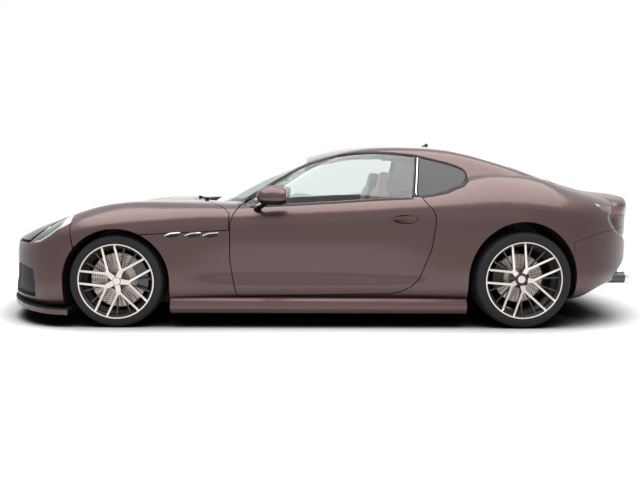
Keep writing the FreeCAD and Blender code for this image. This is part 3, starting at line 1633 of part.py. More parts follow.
pocket_half_height = 34.0
handle_front = 452.0
handle_rear = 664.0
handle_front_low = 786.0
handle_front_high = 804.0
handle_rear_low = 808.0
handle_rear_high = 824.0
handle_proud = 7.0
handle_sunk = 5.0
vent_places = (-1150.0, -1008.0, -884.0)
vent_outline = ((0.0, 655.0), (40.0, 670.0), (108.0, 676.0), (100.0, 660.0), (45.0, 648.0))
vent_inner = 800.0
vent_outer = 980.0
vent_depth = 18.0


def door_stop():
    """The lug on the left rear post that the shut door lies against."""
    whole = block(stop_start, stop_end, -stop_outer, -stop_inner, stop_low, stop_high)
    beyond = lower_hull(door_wall + stop_wall, skin_wall, floor_wall)
    lug = whole.common(cavity()).cut(beyond)
    root = block(stop_end - stop_root, stop_end, -stop_outer, -stop_inner, stop_low, stop_high)
    root = root.common(lower_hull(door_wall - stop_overlap, 0, 0)).cut(beyond)
    return biggest(lug.fuse(root))


def make_mirror(door):
    """The left mirror: its cap, stalk and foot on the door."""
    cap = ellipsoid(V(cap_x, cap_y, cap_z), cap_half_length, cap_half_width, cap_half_height)
    cap = cap.common(block(cap_front, cap_glass_x, cap_outer_y, cap_inner_y, cap_low, cap_high))
    stalk = bar3(V(stalk_top_x, stalk_top_y, stalk_top_z),
                 V(stalk_foot_x, stalk_foot_y, stalk_foot_z), stalk_radius)
    foot = Part.makeCone(base_tip_radius, base_root_radius, base_length, V(base_x, base_y, base_z),
                         V(base_lean_x, base_length, base_lean_z))
    return biggest(cap.fuse([stalk, foot]).cut(door))


def with_handle(door):
    """The left door with a hollow for the fingers and a flush blade across it."""
    y = surface_y(handle_x, handle_z)
    pocket = ellipsoid(V(handle_x, -y - pocket_proud, pocket_z), pocket_half_length,
                       pocket_half_depth, pocket_half_height)
    blade = side_prism([V(handle_front, 0, handle_front_high), V(handle_rear, 0, handle_rear_high),
                        V(handle_rear, 0, handle_rear_low), V(handle_front, 0, handle_front_low)],
                       -y - handle_proud, -y + handle_sunk)
    return biggest(door.cut(pocket).fuse(blade))


def make_vents():
    """Three slanting vents behind each front wheel, set flush in the skin."""
    skin = bowed_ends(lower_hull(0, 0, 0), 0)
    inner = lower_hull(vent_depth, vent_depth, vent_depth)
    vents = []
    for place in vent_places:
        outline = [V(place + x, 0, z) for x, z in vent_outline]
        vents.append(side_prism(outline, -vent_outer, -vent_inner).common(skin).cut(inner))
    return mirrored(vents)


def build_sides(nodes):
    """Door stops, skirts, mirrors, door handles and vents."""
    shell = biggest(nodes["body_shell"].fuse(mirrored([door_stop()])))
    skirts = mirrored([front_prism(skirt_outline, skirt_start, skirt_end - skirt_start)])
    vents = make_vents()
    nodes["side_skirts"] = compound(skirts)
    nodes["fender_vents"] = compound(vents)
    for skirt in skirts:
        shell = shell.cut(skirt)
        nodes["floorpan"] = nodes["floorpan"].cut(skirt)
    for vent in vents:
        shell = shell.cut(vent)
    nodes["body_shell"] = biggest(shell)
    nodes["mirror_left"] = make_mirror(nodes["door_left"])
    nodes["door_left"] = with_handle(nodes["door_left"])


# Tail: diffuser and exhaust
diffuser_start = 2172.0
diffuser_end = 2600.0
diffuser_half = 690.0
diffuser_high = 395.0
fin_places = (-260.0, -90.0, 90.0, 260.0)
fin_half = 5.0
fin_start = 2176.0
fin_end = 2400.0
fin_low = 262.0
fin_high = 385.0
pipe_places = (500.0, 612.0)
pipe_height = 330.0
pipe_radius = 44.0
bore_radius = 39.0
pipe_start = 2150.0
pipe_length = 215.0
bore_start = 2240.0
bore_length = 200.0
pipe_cut_start = 2000.0
pipe_cut_length = 700.0
silencer_start = 1880.0
silencer_end = 2160.0
silencer_half = 660.0
silencer_low = 262.0
silencer_high = 376.0
silencer_round = 30.0
silencer_room_start = 1835.0
silencer_room_end = 2170.0
silencer_room_high = 402.0


def pipe(radius, start, length, y):
    """A round bar that points to the tail at the height of the exhaust."""
    return Part.makeCylinder(radius, length, V(start, y, pipe_height), V(1, 0, 0))


def build_tail(nodes):
    """Diffuser with its fins, and the exhaust with four tips."""
    bumper = nodes["rear_bumper"]
    zone = slab(diffuser_start, diffuser_end, diffuser_half, 0, diffuser_high)
    fins = [block(fin_start, fin_end, y - fin_half, y + fin_half, fin_low, fin_high)
            for y in fin_places]
    diffuser = bumper.common(zone).fuse(fins)
    bumper = bumper.cut(zone)
    tips = [pipe(pipe_radius, pipe_start, pipe_length, y).cut(
        pipe(bore_radius, bore_start, bore_length, y)) for y in pipe_places]
    holes = [pipe(pipe_radius + seat_gap, pipe_cut_start, pipe_cut_length, y) for y in pipe_places]
    for hole in mirrored(holes):
        diffuser = diffuser.cut(hole)
        bumper = bumper.cut(hole)
    room = slab(silencer_room_start, silencer_room_end, diffuser_half, 0, silencer_room_high)
    silencer = slab(silencer_start, silencer_end, silencer_half, silencer_low, silencer_high)
    nodes["rear_diffuser"] = biggest(diffuser)
    nodes["rear_bumper"] = biggest(bumper.cut(room))
    nodes["exhaust"] = rounded(silencer, silencer_round).fuse(mirrored(tips))


# Top: roof fin and wipers
roof_fin_outline = ((800.0, 1335.0), (880.0, 1384.0), (896.0, 1384.0), (896.0, 1330.0))
roof_fin_half = 9.0
wiper_places = (-560.0, -40.0)
wiper_span = 500.0
wiper_foot_setback = 30.0
wiper_tip_setback = 90.0
wiper_foot_rise = 16.0
wiper_tip_rise = 12.0
wiper_radius = 6.0
pivot_radius = 15.0
pivot_height = 60.0
pivot_drop = 38.0


def wiper(y):
    """One wiper arm with its pivot, from a foot at y, lying over the glass."""
    foot_x = cowl_edge(y, 0) + wiper_foot_setback
    foot_z = deck_height(foot_x)
    far = y + wiper_span
    far_x = cowl_edge(far, 0) + wiper_tip_setback
    start = V(foot_x, y, foot_z + wiper_foot_rise)
    end = V(far_x, far, roof_at(far_x, far, 0) + wiper_tip_rise)
    pivot = Part.makeCylinder(pivot_radius, pivot_height, V(foot_x, y, foot_z - pivot_drop))
    return bar3(start, end, wiper_radius).fuse(pivot)


def build_top(nodes):
    """The fin on the roof and the two wipers."""
    fin = side_prism([V(x, 0, z) for x, z in roof_fin_outline], -roof_fin_half, roof_fin_half)
    nodes["body_shell"] = nodes["body_shell"].fuse(fin)
    low = lower_hull(0, 0, 0)
    high = greenhouse_hull(0)
    nodes["wipers"] = compound([biggest(wiper(y).cut(low).cut(high)) for y in wiper_places])


def surface_y(x, z):
    """How far out the body's side lies at a place along the car and a height."""
    low, high = -60.0, 60.0
    for _ in range(40):
        angle = (low + high) / 2
        if lower_point(x, angle, 0, 0, 0)[1] < z:
            low = angle
        else:
            high = angle
    return lower_point(x, low, 0, 0, 0)[0]


def ellipsoid(centre, half_x, half_y, half_z):
    """An egg-shaped solid."""
    stretch = FreeCAD.Matrix()
    stretch.A11, stretch.A22, stretch.A33 = half_x, half_y, half_z
    egg = Part.makeSphere(1.0).transformGeometry(stretch)
    egg.translate(centre)
    return egg


def build_running_gear():
    """Wheels, uprights and suspension of both axles."""
    nodes = build_wheels()
    for end, x, radius, width, track, flange, dish in wheel_sets:
        ball_y = upright_place(width, track, dish)
        name = "knuckle_" + end[0] + "l"
        nodes[name] = knuckle_with_joints(x, radius, nodes[name], ball_y)
        nodes["knuckle_" + end[0] + "r"] = across(nodes[name])
        nodes[end + "_suspension"] = suspension(end, x, radius, ball_y)
    hubs = [nodes.pop("knuckle_rl"), nodes.pop("knuckle_rr")]
    nodes["rear_suspension"] = compound([nodes["rear_suspension"]] + hubs)
    nodes["engine_block"] = slab(engine_start, engine_start + engine_length, engine_half_width,
                                 engine_low, engine_high)
    return nodes


def build_car():
    """Every node of the car by name."""
    nodes = build_body()
    nodes.update(build_running_gear())
    nodes["floorpan"] = biggest(nodes["floorpan"].fuse(build_chassis(cavity())))
    nodes.update(build_interior())
    build_nose(nodes)
    build_sides(nodes)
    build_tail(nodes)
    build_top(nodes)
    for name in ("door", "door_glass", "mirror"):
        nodes[name + "_right"] = across(nodes[name + "_left"])
    return nodes


if __name__ == "__main__":
    os.makedirs("parts", exist_ok=True)
    for name, shape in build_car().items():
        shape.exportStep("parts/" + name + ".step")
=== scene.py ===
"""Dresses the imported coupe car: finishes, wheels, lamps, trim, seats, stage and camera."""

import logging
import math
from dataclasses import dataclass
from enum import Enum

import bmesh
import bpy
import numpy as np
from mathutils import Matrix, Vector


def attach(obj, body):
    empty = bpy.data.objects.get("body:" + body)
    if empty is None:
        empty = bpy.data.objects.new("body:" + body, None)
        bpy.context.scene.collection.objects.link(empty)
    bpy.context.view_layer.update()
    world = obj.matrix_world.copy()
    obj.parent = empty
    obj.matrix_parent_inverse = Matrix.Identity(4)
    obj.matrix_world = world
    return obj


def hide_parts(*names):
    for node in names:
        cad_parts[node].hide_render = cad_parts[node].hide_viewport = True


Material = bpy.types.Material
Object = bpy.types.Object
Socket = bpy.types.NodeSocket

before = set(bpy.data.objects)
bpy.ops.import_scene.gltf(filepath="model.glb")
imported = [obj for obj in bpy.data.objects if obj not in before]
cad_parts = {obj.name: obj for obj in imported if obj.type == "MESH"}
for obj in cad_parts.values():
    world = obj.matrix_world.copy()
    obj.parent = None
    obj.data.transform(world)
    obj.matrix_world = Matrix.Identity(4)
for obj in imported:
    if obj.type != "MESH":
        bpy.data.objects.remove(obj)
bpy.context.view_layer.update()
LOG = logging.getLogger("coupe")
MM_PER_M = 1000.0
SIDE_REACH = 2.0
# The sRGB curve: a straight toe, then a power of the value with an offset.
TOE_END = 0.04045
TOE_SLOPE = 12.92
CURVE_OFFSET = 0.055
CURVE_POWER = 2.4


class Side(Enum):
    """The two sides of the car, with the sign of Y that each lies on."""

    LEFT = -1.0
    RIGHT = 1.0

    @property
    def letter(self) -> str:
        """The letter that node names end in."""
        return self.name[0].lower()


def linear(hex_code: str) -> tuple[float, float, float, float]:
    """Turns an sRGB hex colour to linear light.

    Args:
        hex_code: six hex digits, red first.

    Returns:
        Red, green and blue in linear light, and an alpha of one.
    """
    values = [int(hex_code[i : i + 2], 16) / 255 for i in (0, 2, 4)]
    curve = [v / TOE_SLOPE if v <= TOE_END else
             ((v + CURVE_OFFSET) / (1 + CURVE_OFFSET)) ** CURVE_POWER for v in values]
    return (curve[0], curve[1], curve[2], 1.0)


def add_node(material: Material, kind: str, settings: dict | None = None,
             links: dict | None = None) -> bpy.types.Node:
    """Adds one shader node with its settings and its incoming links.

    Args:
        material: the material, or the world, whose tree gets the node.
        kind: the node's type name, without ShaderNode in front.
        settings: attribute or input socket names and their values.
        links: input socket names or numbers and the output sockets that feed them.

    Returns:
        The new node.
    """
    tree = material.node_tree
    node = tree.nodes.new("ShaderNode" + kind)
    for name, value in (settings or {}).items():
        if isinstance(name, int) or name in node.inputs:
            node.inputs[name].default_value = value
        else:
            setattr(node, name, value)
    for name, socket in (links or {}).items():
        tree.links.new(socket, node.inputs[name])
    return node


def arithmetic(material: Material, operation: str, *inputs: Socket | float) -> Socket:
    """Adds a math node that numbers and sockets feed in order, and returns its result."""
    numbers = {i: value for i, value in enumerate(inputs) if isinstance(value, (int, float))}
    sockets = {i: value for i, value in enumerate(inputs) if i not in numbers}
    return add_node(material, "Math", {"operation": operation, **numbers}, sockets).outputs[0]


def ramp(material: Material, value: Socket, start: float, end: float, low: float = 0.0,
         high: float = 1.0) -> Socket:
    """Adds the node for low + (high − low) (value − start) / (end − start), held in between."""
    ends = {"From Min": start, "From Max": end, "To Min": low, "To Max": high}
    return add_node(material, "MapRange", ends, {"Value": value}).outputs[0]


def blank_material(name: str) -> Material:
    """Makes an empty node material."""
    material = bpy.data.materials.new(name)
    material.use_nodes = True
    material.node_tree.nodes.clear()
    return material


def finish_surface(material: Material, shader: bpy.types.Node) -> Material:
    """Feeds a shader node to the material's output and returns the material."""
    output = add_node(material, "OutputMaterial")
    material.node_tree.links.new(shader.outputs[0], output.inputs["Surface"])
    return material


def object_place(material: Material) -> Socket:
    """The Object coordinates that every pattern reads, in metres."""
    return add_node(material, "TexCoord").outputs["Object"]


@dataclass(frozen=True)
class Grain:
    """A fine surface pattern: its real size in millimetres, and what it does."""

    size_mm: float
    bump: float = 0.0
    bump_mm: float = 0.05
    roughness_swing: float = 0.0
    detail: float = 3.0
    coarseness: float = 0.6


@dataclass(frozen=True)
class Finish:
    """An opaque finish: its colour, gloss and grain."""

    name: str
    colour: str
    second_colour: str
    roughness: float
    metallic: float
    grain: Grain
    coat: float = 0.0
    coat_roughness: float = 0.03
    ior: float = 1.5
    specular: float = 0.5

    def shader(self, material: Material) -> bpy.types.Node:
        """Adds the finish's shader: noise at the grain's size swings colour, gloss and relief.

        Args:
            material: the material that gets the nodes.

        Returns:
            The shader node.
        """
        place = object_place(material)
        noise = add_node(material, "TexNoise",
                         {"Scale": MM_PER_M / self.grain.size_mm, "Detail": self.grain.detail,
                          "Roughness": self.grain.coarseness},
                         {"Vector": place})
        colour = add_node(material, "Mix",
                          {"data_type": "RGBA", 6: linear(self.colour),
                           7: linear(self.second_colour)},
                          {0: noise.outputs["Fac"]})
        swing = self.grain.roughness_swing
        gloss = ramp(material, noise.outputs["Fac"], 0.0, 1.0, self.roughness - swing,
                     self.roughness + swing)
        relief = add_node(material, "Bump",
                          {"Strength": self.grain.bump, "Distance": self.grain.bump_mm / MM_PER_M},
                          {"Height": noise.outputs["Fac"]})
        shader = add_node(material, "BsdfPrincipled",
                          {"Metallic": self.metallic, "Coat Weight": self.coat,
                           "Coat Roughness": self.coat_roughness,
                           "Specular IOR Level": self.specular},
                          {"Base Color": colour.outputs[2], "Roughness": gloss,
                           "Normal": relief.outputs[0]})
        if self.metallic == 0.0:
            shader.inputs["IOR"].default_value = self.ior
        return shader

    def build(self) -> Material:
        """Builds the node material and returns it."""
        material = blank_material(self.name)
        return finish_surface(material, self.shader(material))


@dataclass(frozen=True)
class Glass:
    """A tinted pane that is seen through, and that lets lamps' light in."""

    name: str
    tint: str
    haze_mm: float
    haze_roughness: float = 0.012
    ior: float = 1.45
    specular: float = 0.15

    def build(self) -> Material:
        """Builds a clear shader with a faint unevenness, and clear to shadow rays."""
        material = blank_material(self.name)
        noise = add_node(material, "TexNoise", {"Scale": MM_PER_M / self.haze_mm},
                         {"Vector": object_place(material)})
        film = ramp(material, noise.outputs["Fac"], 0.0, 1.0, 0.0, self.haze_roughness)
        pane = add_node(material, "BsdfPrincipled",
                        {"Base Color": linear(self.tint), "Transmission Weight": 1.0,
                         "IOR": self.ior, "Specular IOR Level": self.specular},
                        {"Roughness": film})
        clear = add_node(material, "BsdfTransparent", {"Color": linear(self.tint)})
        path = add_node(material, "LightPath")
        mix = add_node(material, "MixShader", None,
                       {0: path.outputs["Is Shadow Ray"], 1: pane.outputs[0], 2: clear.outputs[0]})
        return finish_surface(material, mix)


@dataclass(frozen=True)
class Beyond:
    """The part of a piece past a level of a coordinate, or of the way that it faces."""

    axis: str
    start: float
    end: float
    source: str = "Object"

    def socket(self, material: Material) -> Socket:
        """Adds the nodes: (c - start) / (end - start), held between 0 and 1.

        c is the coordinate, and for Y its size without the sign, so both sides look alike.
        """
        place = add_node(material, "TexCoord").outputs[self.source]
        parts = add_node(material, "SeparateXYZ", None, {0: place})
        size = parts.outputs[self.axis]
        if self.axis == "Y":
            size = arithmetic(material, "ABSOLUTE", size)
        return ramp(material, size, self.start, self.end)


@dataclass(frozen=True)
class FacingIn:
    """The part of a hollow piece that faces a line along the car's middle, at a height.

    Skin below that height that faces up counts too, such as the front of the bonnet.
    """

    height: float
    blend: float = 0.05

    def socket(self, material: Material) -> Socket:
        """Adds the nodes: whether n · (c - p) > 0 across the car, with c the line's point."""
        source = add_node(material, "TexCoord")
        offset = add_node(material, "VectorMath",
                          {"operation": "SUBTRACT", 0: (0.0, 0.0, self.height)},
                          {1: source.outputs["Object"]})
        across = add_node(material, "VectorMath",
                          {"operation": "MULTIPLY", 1: (0.0, 1.0, 1.0)}, {0: offset.outputs[0]})
        turned = add_node(material, "VectorMath", {"operation": "DOT_PRODUCT"},
                          {0: across.outputs[0], 1: source.outputs["Normal"]})
        return ramp(material, turned.outputs["Value"], 0.0, self.blend)


@dataclass(frozen=True)
class WheelSize:
    """The sizes of one axle's wheels, in metres."""

    axle_x: float
    radius: float
    width: float
    track_half: float
    flange: float
    dish: float
    disc_radius: float

    def polar(self, material: Material) -> tuple[Socket, Socket]:
        """Adds the nodes for a point's distance from the axle and its angle round it.

        Args:
            material: the material that gets the nodes.

        Returns:
            The sockets of sqrt(dx² + dz²) and of atan2(dz, dx).
        """
        centred = add_node(material, "VectorMath",
                           {"operation": "SUBTRACT", 1: (self.axle_x, 0.0, self.radius)},
                           {0: object_place(material)})
        flat = add_node(material, "VectorMath",
                        {"operation": "MULTIPLY", 1: (1.0, 0.0, 1.0)}, {0: centred.outputs[0]})
        length = add_node(material, "VectorMath", {"operation": "LENGTH"},
                          {0: flat.outputs[0]})
        parts = add_node(material, "SeparateXYZ", None, {0: flat.outputs[0]})
        angle = arithmetic(material, "ARCTAN2", parts.outputs["Z"], parts.outputs["X"])
        return length.outputs["Value"], angle


FRONT_WHEEL = WheelSize(-1.4995, 0.3335, 0.265, 0.818, 0.271, 0.026, 0.195)
REAR_WHEEL = WheelSize(1.4295, 0.355, 0.295, 0.820, 0.284, 0.070, 0.178)


@dataclass(frozen=True)
class MachinedFace:
    """The faces of a rim that a lathe has cut bright: those that look out near the face cone."""

    wheel: WheelSize
    fork_radius: float = 0.086
    rise_share: float = 0.20
    reach: float = 0.007
    lip_share: float = 0.93
    lip_gap: float = 0.0056
    flange_inset: float = 0.022
    facing_start: float = 0.72
    facing_end: float = 0.80

    def socket(self, material: Material) -> Socket:
        """Adds the nodes: 1 where |y| is over the cone's less the reach, and the face looks out."""
        wheel = self.wheel
        half = wheel.width / 2
        lip_y = wheel.track_half + half * self.lip_share + self.lip_gap
        fork_y = wheel.track_half + half - wheel.dish * (1 - self.rise_share)
        radius, _ = wheel.polar(material)
        cone = ramp(material, radius, self.fork_radius, wheel.flange - self.flange_inset,
                    fork_y - self.reach, lip_y - self.reach)
        parts = add_node(material, "SeparateXYZ", None, {0: object_place(material)})
        out = arithmetic(material, "ABSOLUTE", parts.outputs["Y"])
        near = arithmetic(material, "GREATER_THAN", out, cone)
        facing = Beyond("Y", self.facing_start, self.facing_end, "Normal").socket(material)
        return arithmetic(material, "MULTIPLY", near, facing)


@dataclass(frozen=True)
class PaintedHoleShade:
    """Dark dots of painted shade that stand in for rows of small holes on a brake disc, set in
    spirals round the axle.
    """

    wheel: WheelSize
    per_turn: int = 30
    row_mm: float = 17.0
    hat_share: float = 0.52
    hole_radius_share: float = 0.26

    def socket(self, material: Material) -> Socket:
        """Adds the nodes: dots of painted shade on a square grid in angle and radius, past the
        disc's hat.
        """
        radius, angle = self.wheel.polar(material)
        row = arithmetic(material, "MULTIPLY", radius, MM_PER_M / self.row_mm)
        turn = arithmetic(material, "MULTIPLY_ADD", angle, self.per_turn / (2 * math.pi), row)
        grid = add_node(material, "CombineXYZ", None, {"X": turn, "Y": row})
        cells = add_node(material, "TexVoronoi",
                         {"voronoi_dimensions": "2D", "Scale": 1.0, "Randomness": 0.0},
                         {"Vector": grid.outputs[0]})
        dot = arithmetic(material, "LESS_THAN", cells.outputs["Distance"], self.hole_radius_share)
        hat = self.wheel.disc_radius * self.hat_share
        swept = arithmetic(material, "GREATER_THAN", radius, hat)
        return arithmetic(material, "MULTIPLY", dot, swept)


@dataclass(frozen=True)
class Layered:
    """One finish with others over it, each where its place says."""

    name: str
    base: Finish
    layers: tuple

    def build(self) -> Material:
        """Builds the base shader and mixes each layer over it by its place's socket."""
        material = blank_material(self.name)
        shader = self.base.shader(material)
        for place, finish in self.layers:
            shader = add_node(material, "MixShader", None,
                              {0: place.socket(material), 1: shader.outputs[0],
                               2: finish.shader(material).outputs[0]})
        return finish_surface(material, shader)


class Finishes:
    """Every finish of the car, built once and kept by name."""

    # Metallic enamel under clear lacquer: a satin rose-brown with a hard gloss on top.
    PAINT = Finish("metallic_enamel_sprayed_rose_brown", "453332", "4B3836", 0.40, 0.85,
                   Grain(3.0, 0.0, 0.0, 0.02), coat=0.45, coat_roughness=0.12)
    # Black acrylic, moulded and polished: mirror gloss with next to no colour.
    GLOSS_BLACK = Finish("acrylic_polished_black", "030304", "060607", 0.30, 0.0,
                         Grain(30.0, 0.0, 0.0, 0.03), ior=1.49, specular=0.12)
    # Polypropylene, moulded with a fine grain: soft dark grey.
    MATT_BLACK = Finish("polypropylene_moulded_black", "070708", "0C0C0E", 0.62, 0.0,
                        Grain(2.0, 0.3, 0.1, 0.08), ior=1.49, specular=0.25)
    # Tyre rubber, moulded: deep grey with a dull bloom.
    RUBBER = Finish("rubber_moulded_tyre", "101012", "17171A", 0.74, 0.0,
                    Grain(8.0, 0.3, 0.2, 0.08), ior=1.52, specular=0.25)
    # Aluminium, cut on a lathe and lacquered: bright, with a fine satin.
    MACHINED = Finish("aluminium_turned_bright", "CFC5BB", "BDB3A9", 0.32, 0.9,
                      Grain(3.0, 0.05, 0.02, 0.06))
    # Aluminium, cast and painted dark grey in the wheel's pockets.
    WHEEL_GREY = Finish("aluminium_painted_dark_grey", "1B1B1D", "262628", 0.42, 0.3,
                        Grain(5.0, 0.1, 0.05, 0.05), coat=0.4)
    # Grey cast iron, ground: a light dry sheen.
    GROUND_IRON = Finish("cast_iron_ground_disc", "BDB3AC", "A69C95", 0.42, 0.6,
                         Grain(4.0, 0.1, 0.05, 0.08))
    # Aluminium, powder coated black.
    CALIPER = Finish("aluminium_powder_coated_black", "0C0C0D", "141416", 0.3, 0.0,
                     Grain(3.0, 0.2, 0.1, 0.05), coat=0.5)
    # Steel, dipped in black primer.
    STEEL = Finish("steel_dipped_black", "0D0D0E", "151517", 0.55, 0.0, Grain(12.0, 0.3, 0.3, 0.1))
    # Cast aluminium: dull grey with a coarse skin.
    CAST = Finish("aluminium_sand_cast", "77777A", "5E5E61", 0.55, 0.8, Grain(6.0, 0.5, 0.4, 0.1))
    # Cowhide, pressed and stained brown.
    LEATHER = Finish("leather_pressed_brown", "5A3524", "67402C", 0.48, 0.0,
                     Grain(4.0, 0.4, 0.2, 0.06), ior=1.48)
    # Soft vinyl, slush moulded: very dark warm grey.
    CABIN = Finish("vinyl_moulded_dark_grey", "1A1715", "24201D", 0.62, 0.0,
                   Grain(3.0, 0.3, 0.15, 0.08), ior=1.49)
    # Stainless steel, drawn and brushed.
    STAINLESS = Finish("stainless_steel_brushed", "5C5A59", "4A4948", 0.36, 1.0,
                       Grain(3.0, 0.1, 0.05, 0.08))
    # Chromium plate: a hard mirror with a faint haze.
    CHROME = Finish("chromium_plated_bright", "E6E7E8", "DDDEE0", 0.10, 1.0,
                    Grain(40.0, 0.0, 0.0, 0.03))
    # Acrylic, moulded dark red over black reflectors.
    RED_LENS = Finish("acrylic_moulded_dark_red", "3A0B0D", "4A1012", 0.10, 0.0,
                      Grain(14.0, 0.1, 0.2, 0.03), coat=1.0, ior=1.49)
    # Polycarbonate over a smoked olive-black housing.
    SMOKED = Finish("polycarbonate_moulded_smoked", "12150F", "1C2018", 0.10, 0.0,
                    Grain(30.0, 0.05, 0.2, 0.03), coat=1.0, ior=1.58)
    # Polycarbonate over a dark teal reflector bowl.
    TEAL = Finish("polycarbonate_moulded_teal_grey", "1D3236", "27434A", 0.10, 0.0,
                  Grain(20.0, 0.05, 0.2, 0.03), coat=1.0, ior=1.58)
    # Polycarbonate, clear over a pale housing.
    PALE_LENS = Finish("polycarbonate_moulded_pale_grey", "B9B4AE", "C6C1BB", 0.14, 0.0,
                       Grain(20.0, 0.05, 0.2, 0.03), coat=1.0, ior=1.58)
    # Soda glass, floated, with a faint grey-green dye.
    TINTED = Glass("soda_glass_floated_tinted", "DCE3E1", 60.0)
    # Soda glass, floated and dyed dark grey: painted shade standing in for the dark rear
    # compartment behind the rear window and quarter glass.
    PRIVACY = Glass("soda_glass_floated_dark_grey", "2E3431", 60.0)
    # A body panel: enamel outside, dark vinyl on the side that faces in.
    PANEL = Layered("enamel_outside_trimmed_inside", PAINT, ((FacingIn(0.75), CABIN),))
    # The door mirror: painted cap, black foot and underside, and a silvered pane at the back.
    MIRROR = Layered("enamel_and_silvered_glass_mirror", PAINT,
                     ((Beyond("Z", 0.922, 0.920), GLOSS_BLACK),
                      (Beyond("X", 0.97, 0.99, "Normal"), CHROME)))
    # The headlamp, from front to rear: olive-black, a teal bowl, olive-black, a pale tip.
    HEADLAMP = Layered("polycarbonate_headlamp_cover", SMOKED,
                       ((Beyond("X", -2.05, -1.99), TEAL), (Beyond("X", -1.955, -1.935), SMOKED),
                        (Beyond("X", -1.905, -1.875), PALE_LENS)))
    # The tail lamp, from below: a red lens, a smoked strip and a pale edge.
    TAILLAMP = Layered("acrylic_tail_lamp_cover", RED_LENS,
                       ((Beyond("Z", 0.876, 0.880), SMOKED),
                        (Beyond("Z", 0.894, 0.897), PALE_LENS)))
    # The exhaust: brushed pipes with polished ends.
    EXHAUST = Layered("stainless_steel_pipes_polished_ends", STAINLESS,
                      ((Beyond("X", 2.335, 2.337), CHROME),))
    FRONT_RIM = Layered("aluminium_turned_and_painted_front", WHEEL_GREY,
                        ((MachinedFace(FRONT_WHEEL), MACHINED),))
    REAR_RIM = Layered("aluminium_turned_and_painted_rear", WHEEL_GREY,
                       ((MachinedFace(REAR_WHEEL), MACHINED),))
    # Ground iron with dark dots of the black steel finish: painted shade where the disc's drilled
    # holes are.
    FRONT_DISC = Layered("cast_iron_drilled_front", GROUND_IRON,
                         ((PaintedHoleShade(FRONT_WHEEL), STEEL),))
    REAR_DISC = Layered("cast_iron_drilled_rear", GROUND_IRON,
                        ((PaintedHoleShade(REAR_WHEEL), STEEL),))

    def __init__(self) -> None:
        """Builds every finish named in the class."""
        self.made = {}
        for name, finish in vars(type(self)).items():
            if isinstance(finish, (Finish, Glass, Layered)):
                self.made[name] = finish.build()

    def __getitem__(self, name: str) -> Material:
        """The built material of that name."""
        return self.made[name]


def dress(obj: Object, material: Material) -> None:
    """Gives an object one material in place of all its own."""
    obj.data.materials.clear()
    obj.data.materials.append(material)


def grid_faces(rows: int, columns: int, closed_rows: bool, closed_columns: bool) -> np.ndarray:
    """Quads of a grid of points: corner (r, c) with its right, upper-right and upper neighbours.

    Args:
        rows: number of rows of points.
        columns: number of points in a row.
        closed_rows: whether the last row meets the first.
        closed_columns: whether each row's last point meets its first.

    Returns:
        An array of quads, each of four point numbers.
    """
    r = np.arange(rows if closed_rows else rows - 1)[:, None]
    c = np.arange(columns if closed_columns else columns - 1)[None, :]
    up = (r + 1) % rows
    right = (c + 1) % columns
    quads = (r * columns + c, r * columns + right, up * columns + right, up * columns + c)
    return np.stack(np.broadcast_arrays(*quads), axis=-1).reshape(-1, 4)


def add_piece(name: str, points: np.ndarray, faces: np.ndarray, material: Material,
              body: str, crease: float = 35.0, weld: float = 1e-6) -> Object:
    """Makes a closed mesh object from arrays, turns its faces outward and lets it ride on a body.

    Args:
        name: the piece's name.
        points: its points, in metres in the car's own frame.
        faces: its quads or triangles, as point numbers.
        material: its finish.
        body: the CAD body that carries it.
        crease: the angle in degrees past which an edge stays sharp.
        weld: points nearer than this, in metres, are joined.

    Returns:
        The object.
    """
    mesh = bpy.data.meshes.new(name)
    mesh.from_pydata(points.reshape(-1, 3).tolist(), [], faces.tolist())
    work = bmesh.new()
    work.from_mesh(mesh)
    bmesh.ops.remove_doubles(work, verts=work.verts, dist=weld)
    bmesh.ops.recalc_face_normals(work, faces=work.faces)
    work.to_mesh(mesh)
    work.free()
    mesh.polygons.foreach_set("use_smooth", np.ones(len(mesh.polygons), dtype=bool))
    mesh.set_sharp_from_angle(angle=math.radians(crease))
    obj = bpy.data.objects.new(name, mesh)
    bpy.context.scene.collection.objects.link(obj)
    dress(obj, material)
    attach(obj, body)
    LOG.info("%s: %d faces", name, len(mesh.polygons))
    return obj


def capped(points: np.ndarray) -> tuple[np.ndarray, np.ndarray]:
    """Closes a tube of section rows: the grid's quads, and one face over each end.

    Args:
        points: rows of section points, an array of (rows, columns, 3).

    Returns:
        The points with the two end centres added, and the faces as triangles.
    """
    rows, columns, _ = points.shape
    quads = grid_faces(rows, columns, False, True)
    sides = np.concatenate((quads[:, [0, 1, 2]], quads[:, [0, 2, 3]]))
    flat = np.concatenate((points.reshape(-1, 3), points[:1].mean(axis=1),
                           points[-1:].mean(axis=1)))
    c = np.arange(columns)
    last = (rows - 1) * columns
    start = np.stack((np.full(columns, rows * columns), (c + 1) % columns, c), axis=-1)
    end = np.stack((np.full(columns, rows * columns + 1), last + c,
                    last + (c + 1) % columns), axis=-1)
    return flat, np.concatenate((sides, start, end))


def along(points: list[tuple[float, float]], step: float) -> np.ndarray:
    """Points spaced evenly by length along a bent line, read off at s = 0 … length."""
    line = np.array(points)
    lengths = np.concatenate(([0.0], np.cumsum(np.linalg.norm(np.diff(line, axis=0), axis=1))))
    count = max(2, int(lengths[-1] / step) + 1)
    s = np.linspace(0.0, lengths[-1], count)
    return np.stack([np.interp(s, lengths, line[:, i]) for i in range(line.shape[1])], axis=-1)


def beside(line: np.ndarray, gap: float) -> np.ndarray:
    """A line moved sideways by a gap: p + gap · (−tz, tx), with t the line's unit tangent."""
    tangent = np.gradient(line, axis=0)
    tangent /= np.linalg.norm(tangent, axis=1)[:, None]
    return line + gap * np.stack((-tangent[:, 1], tangent[:, 0]), axis=-1)


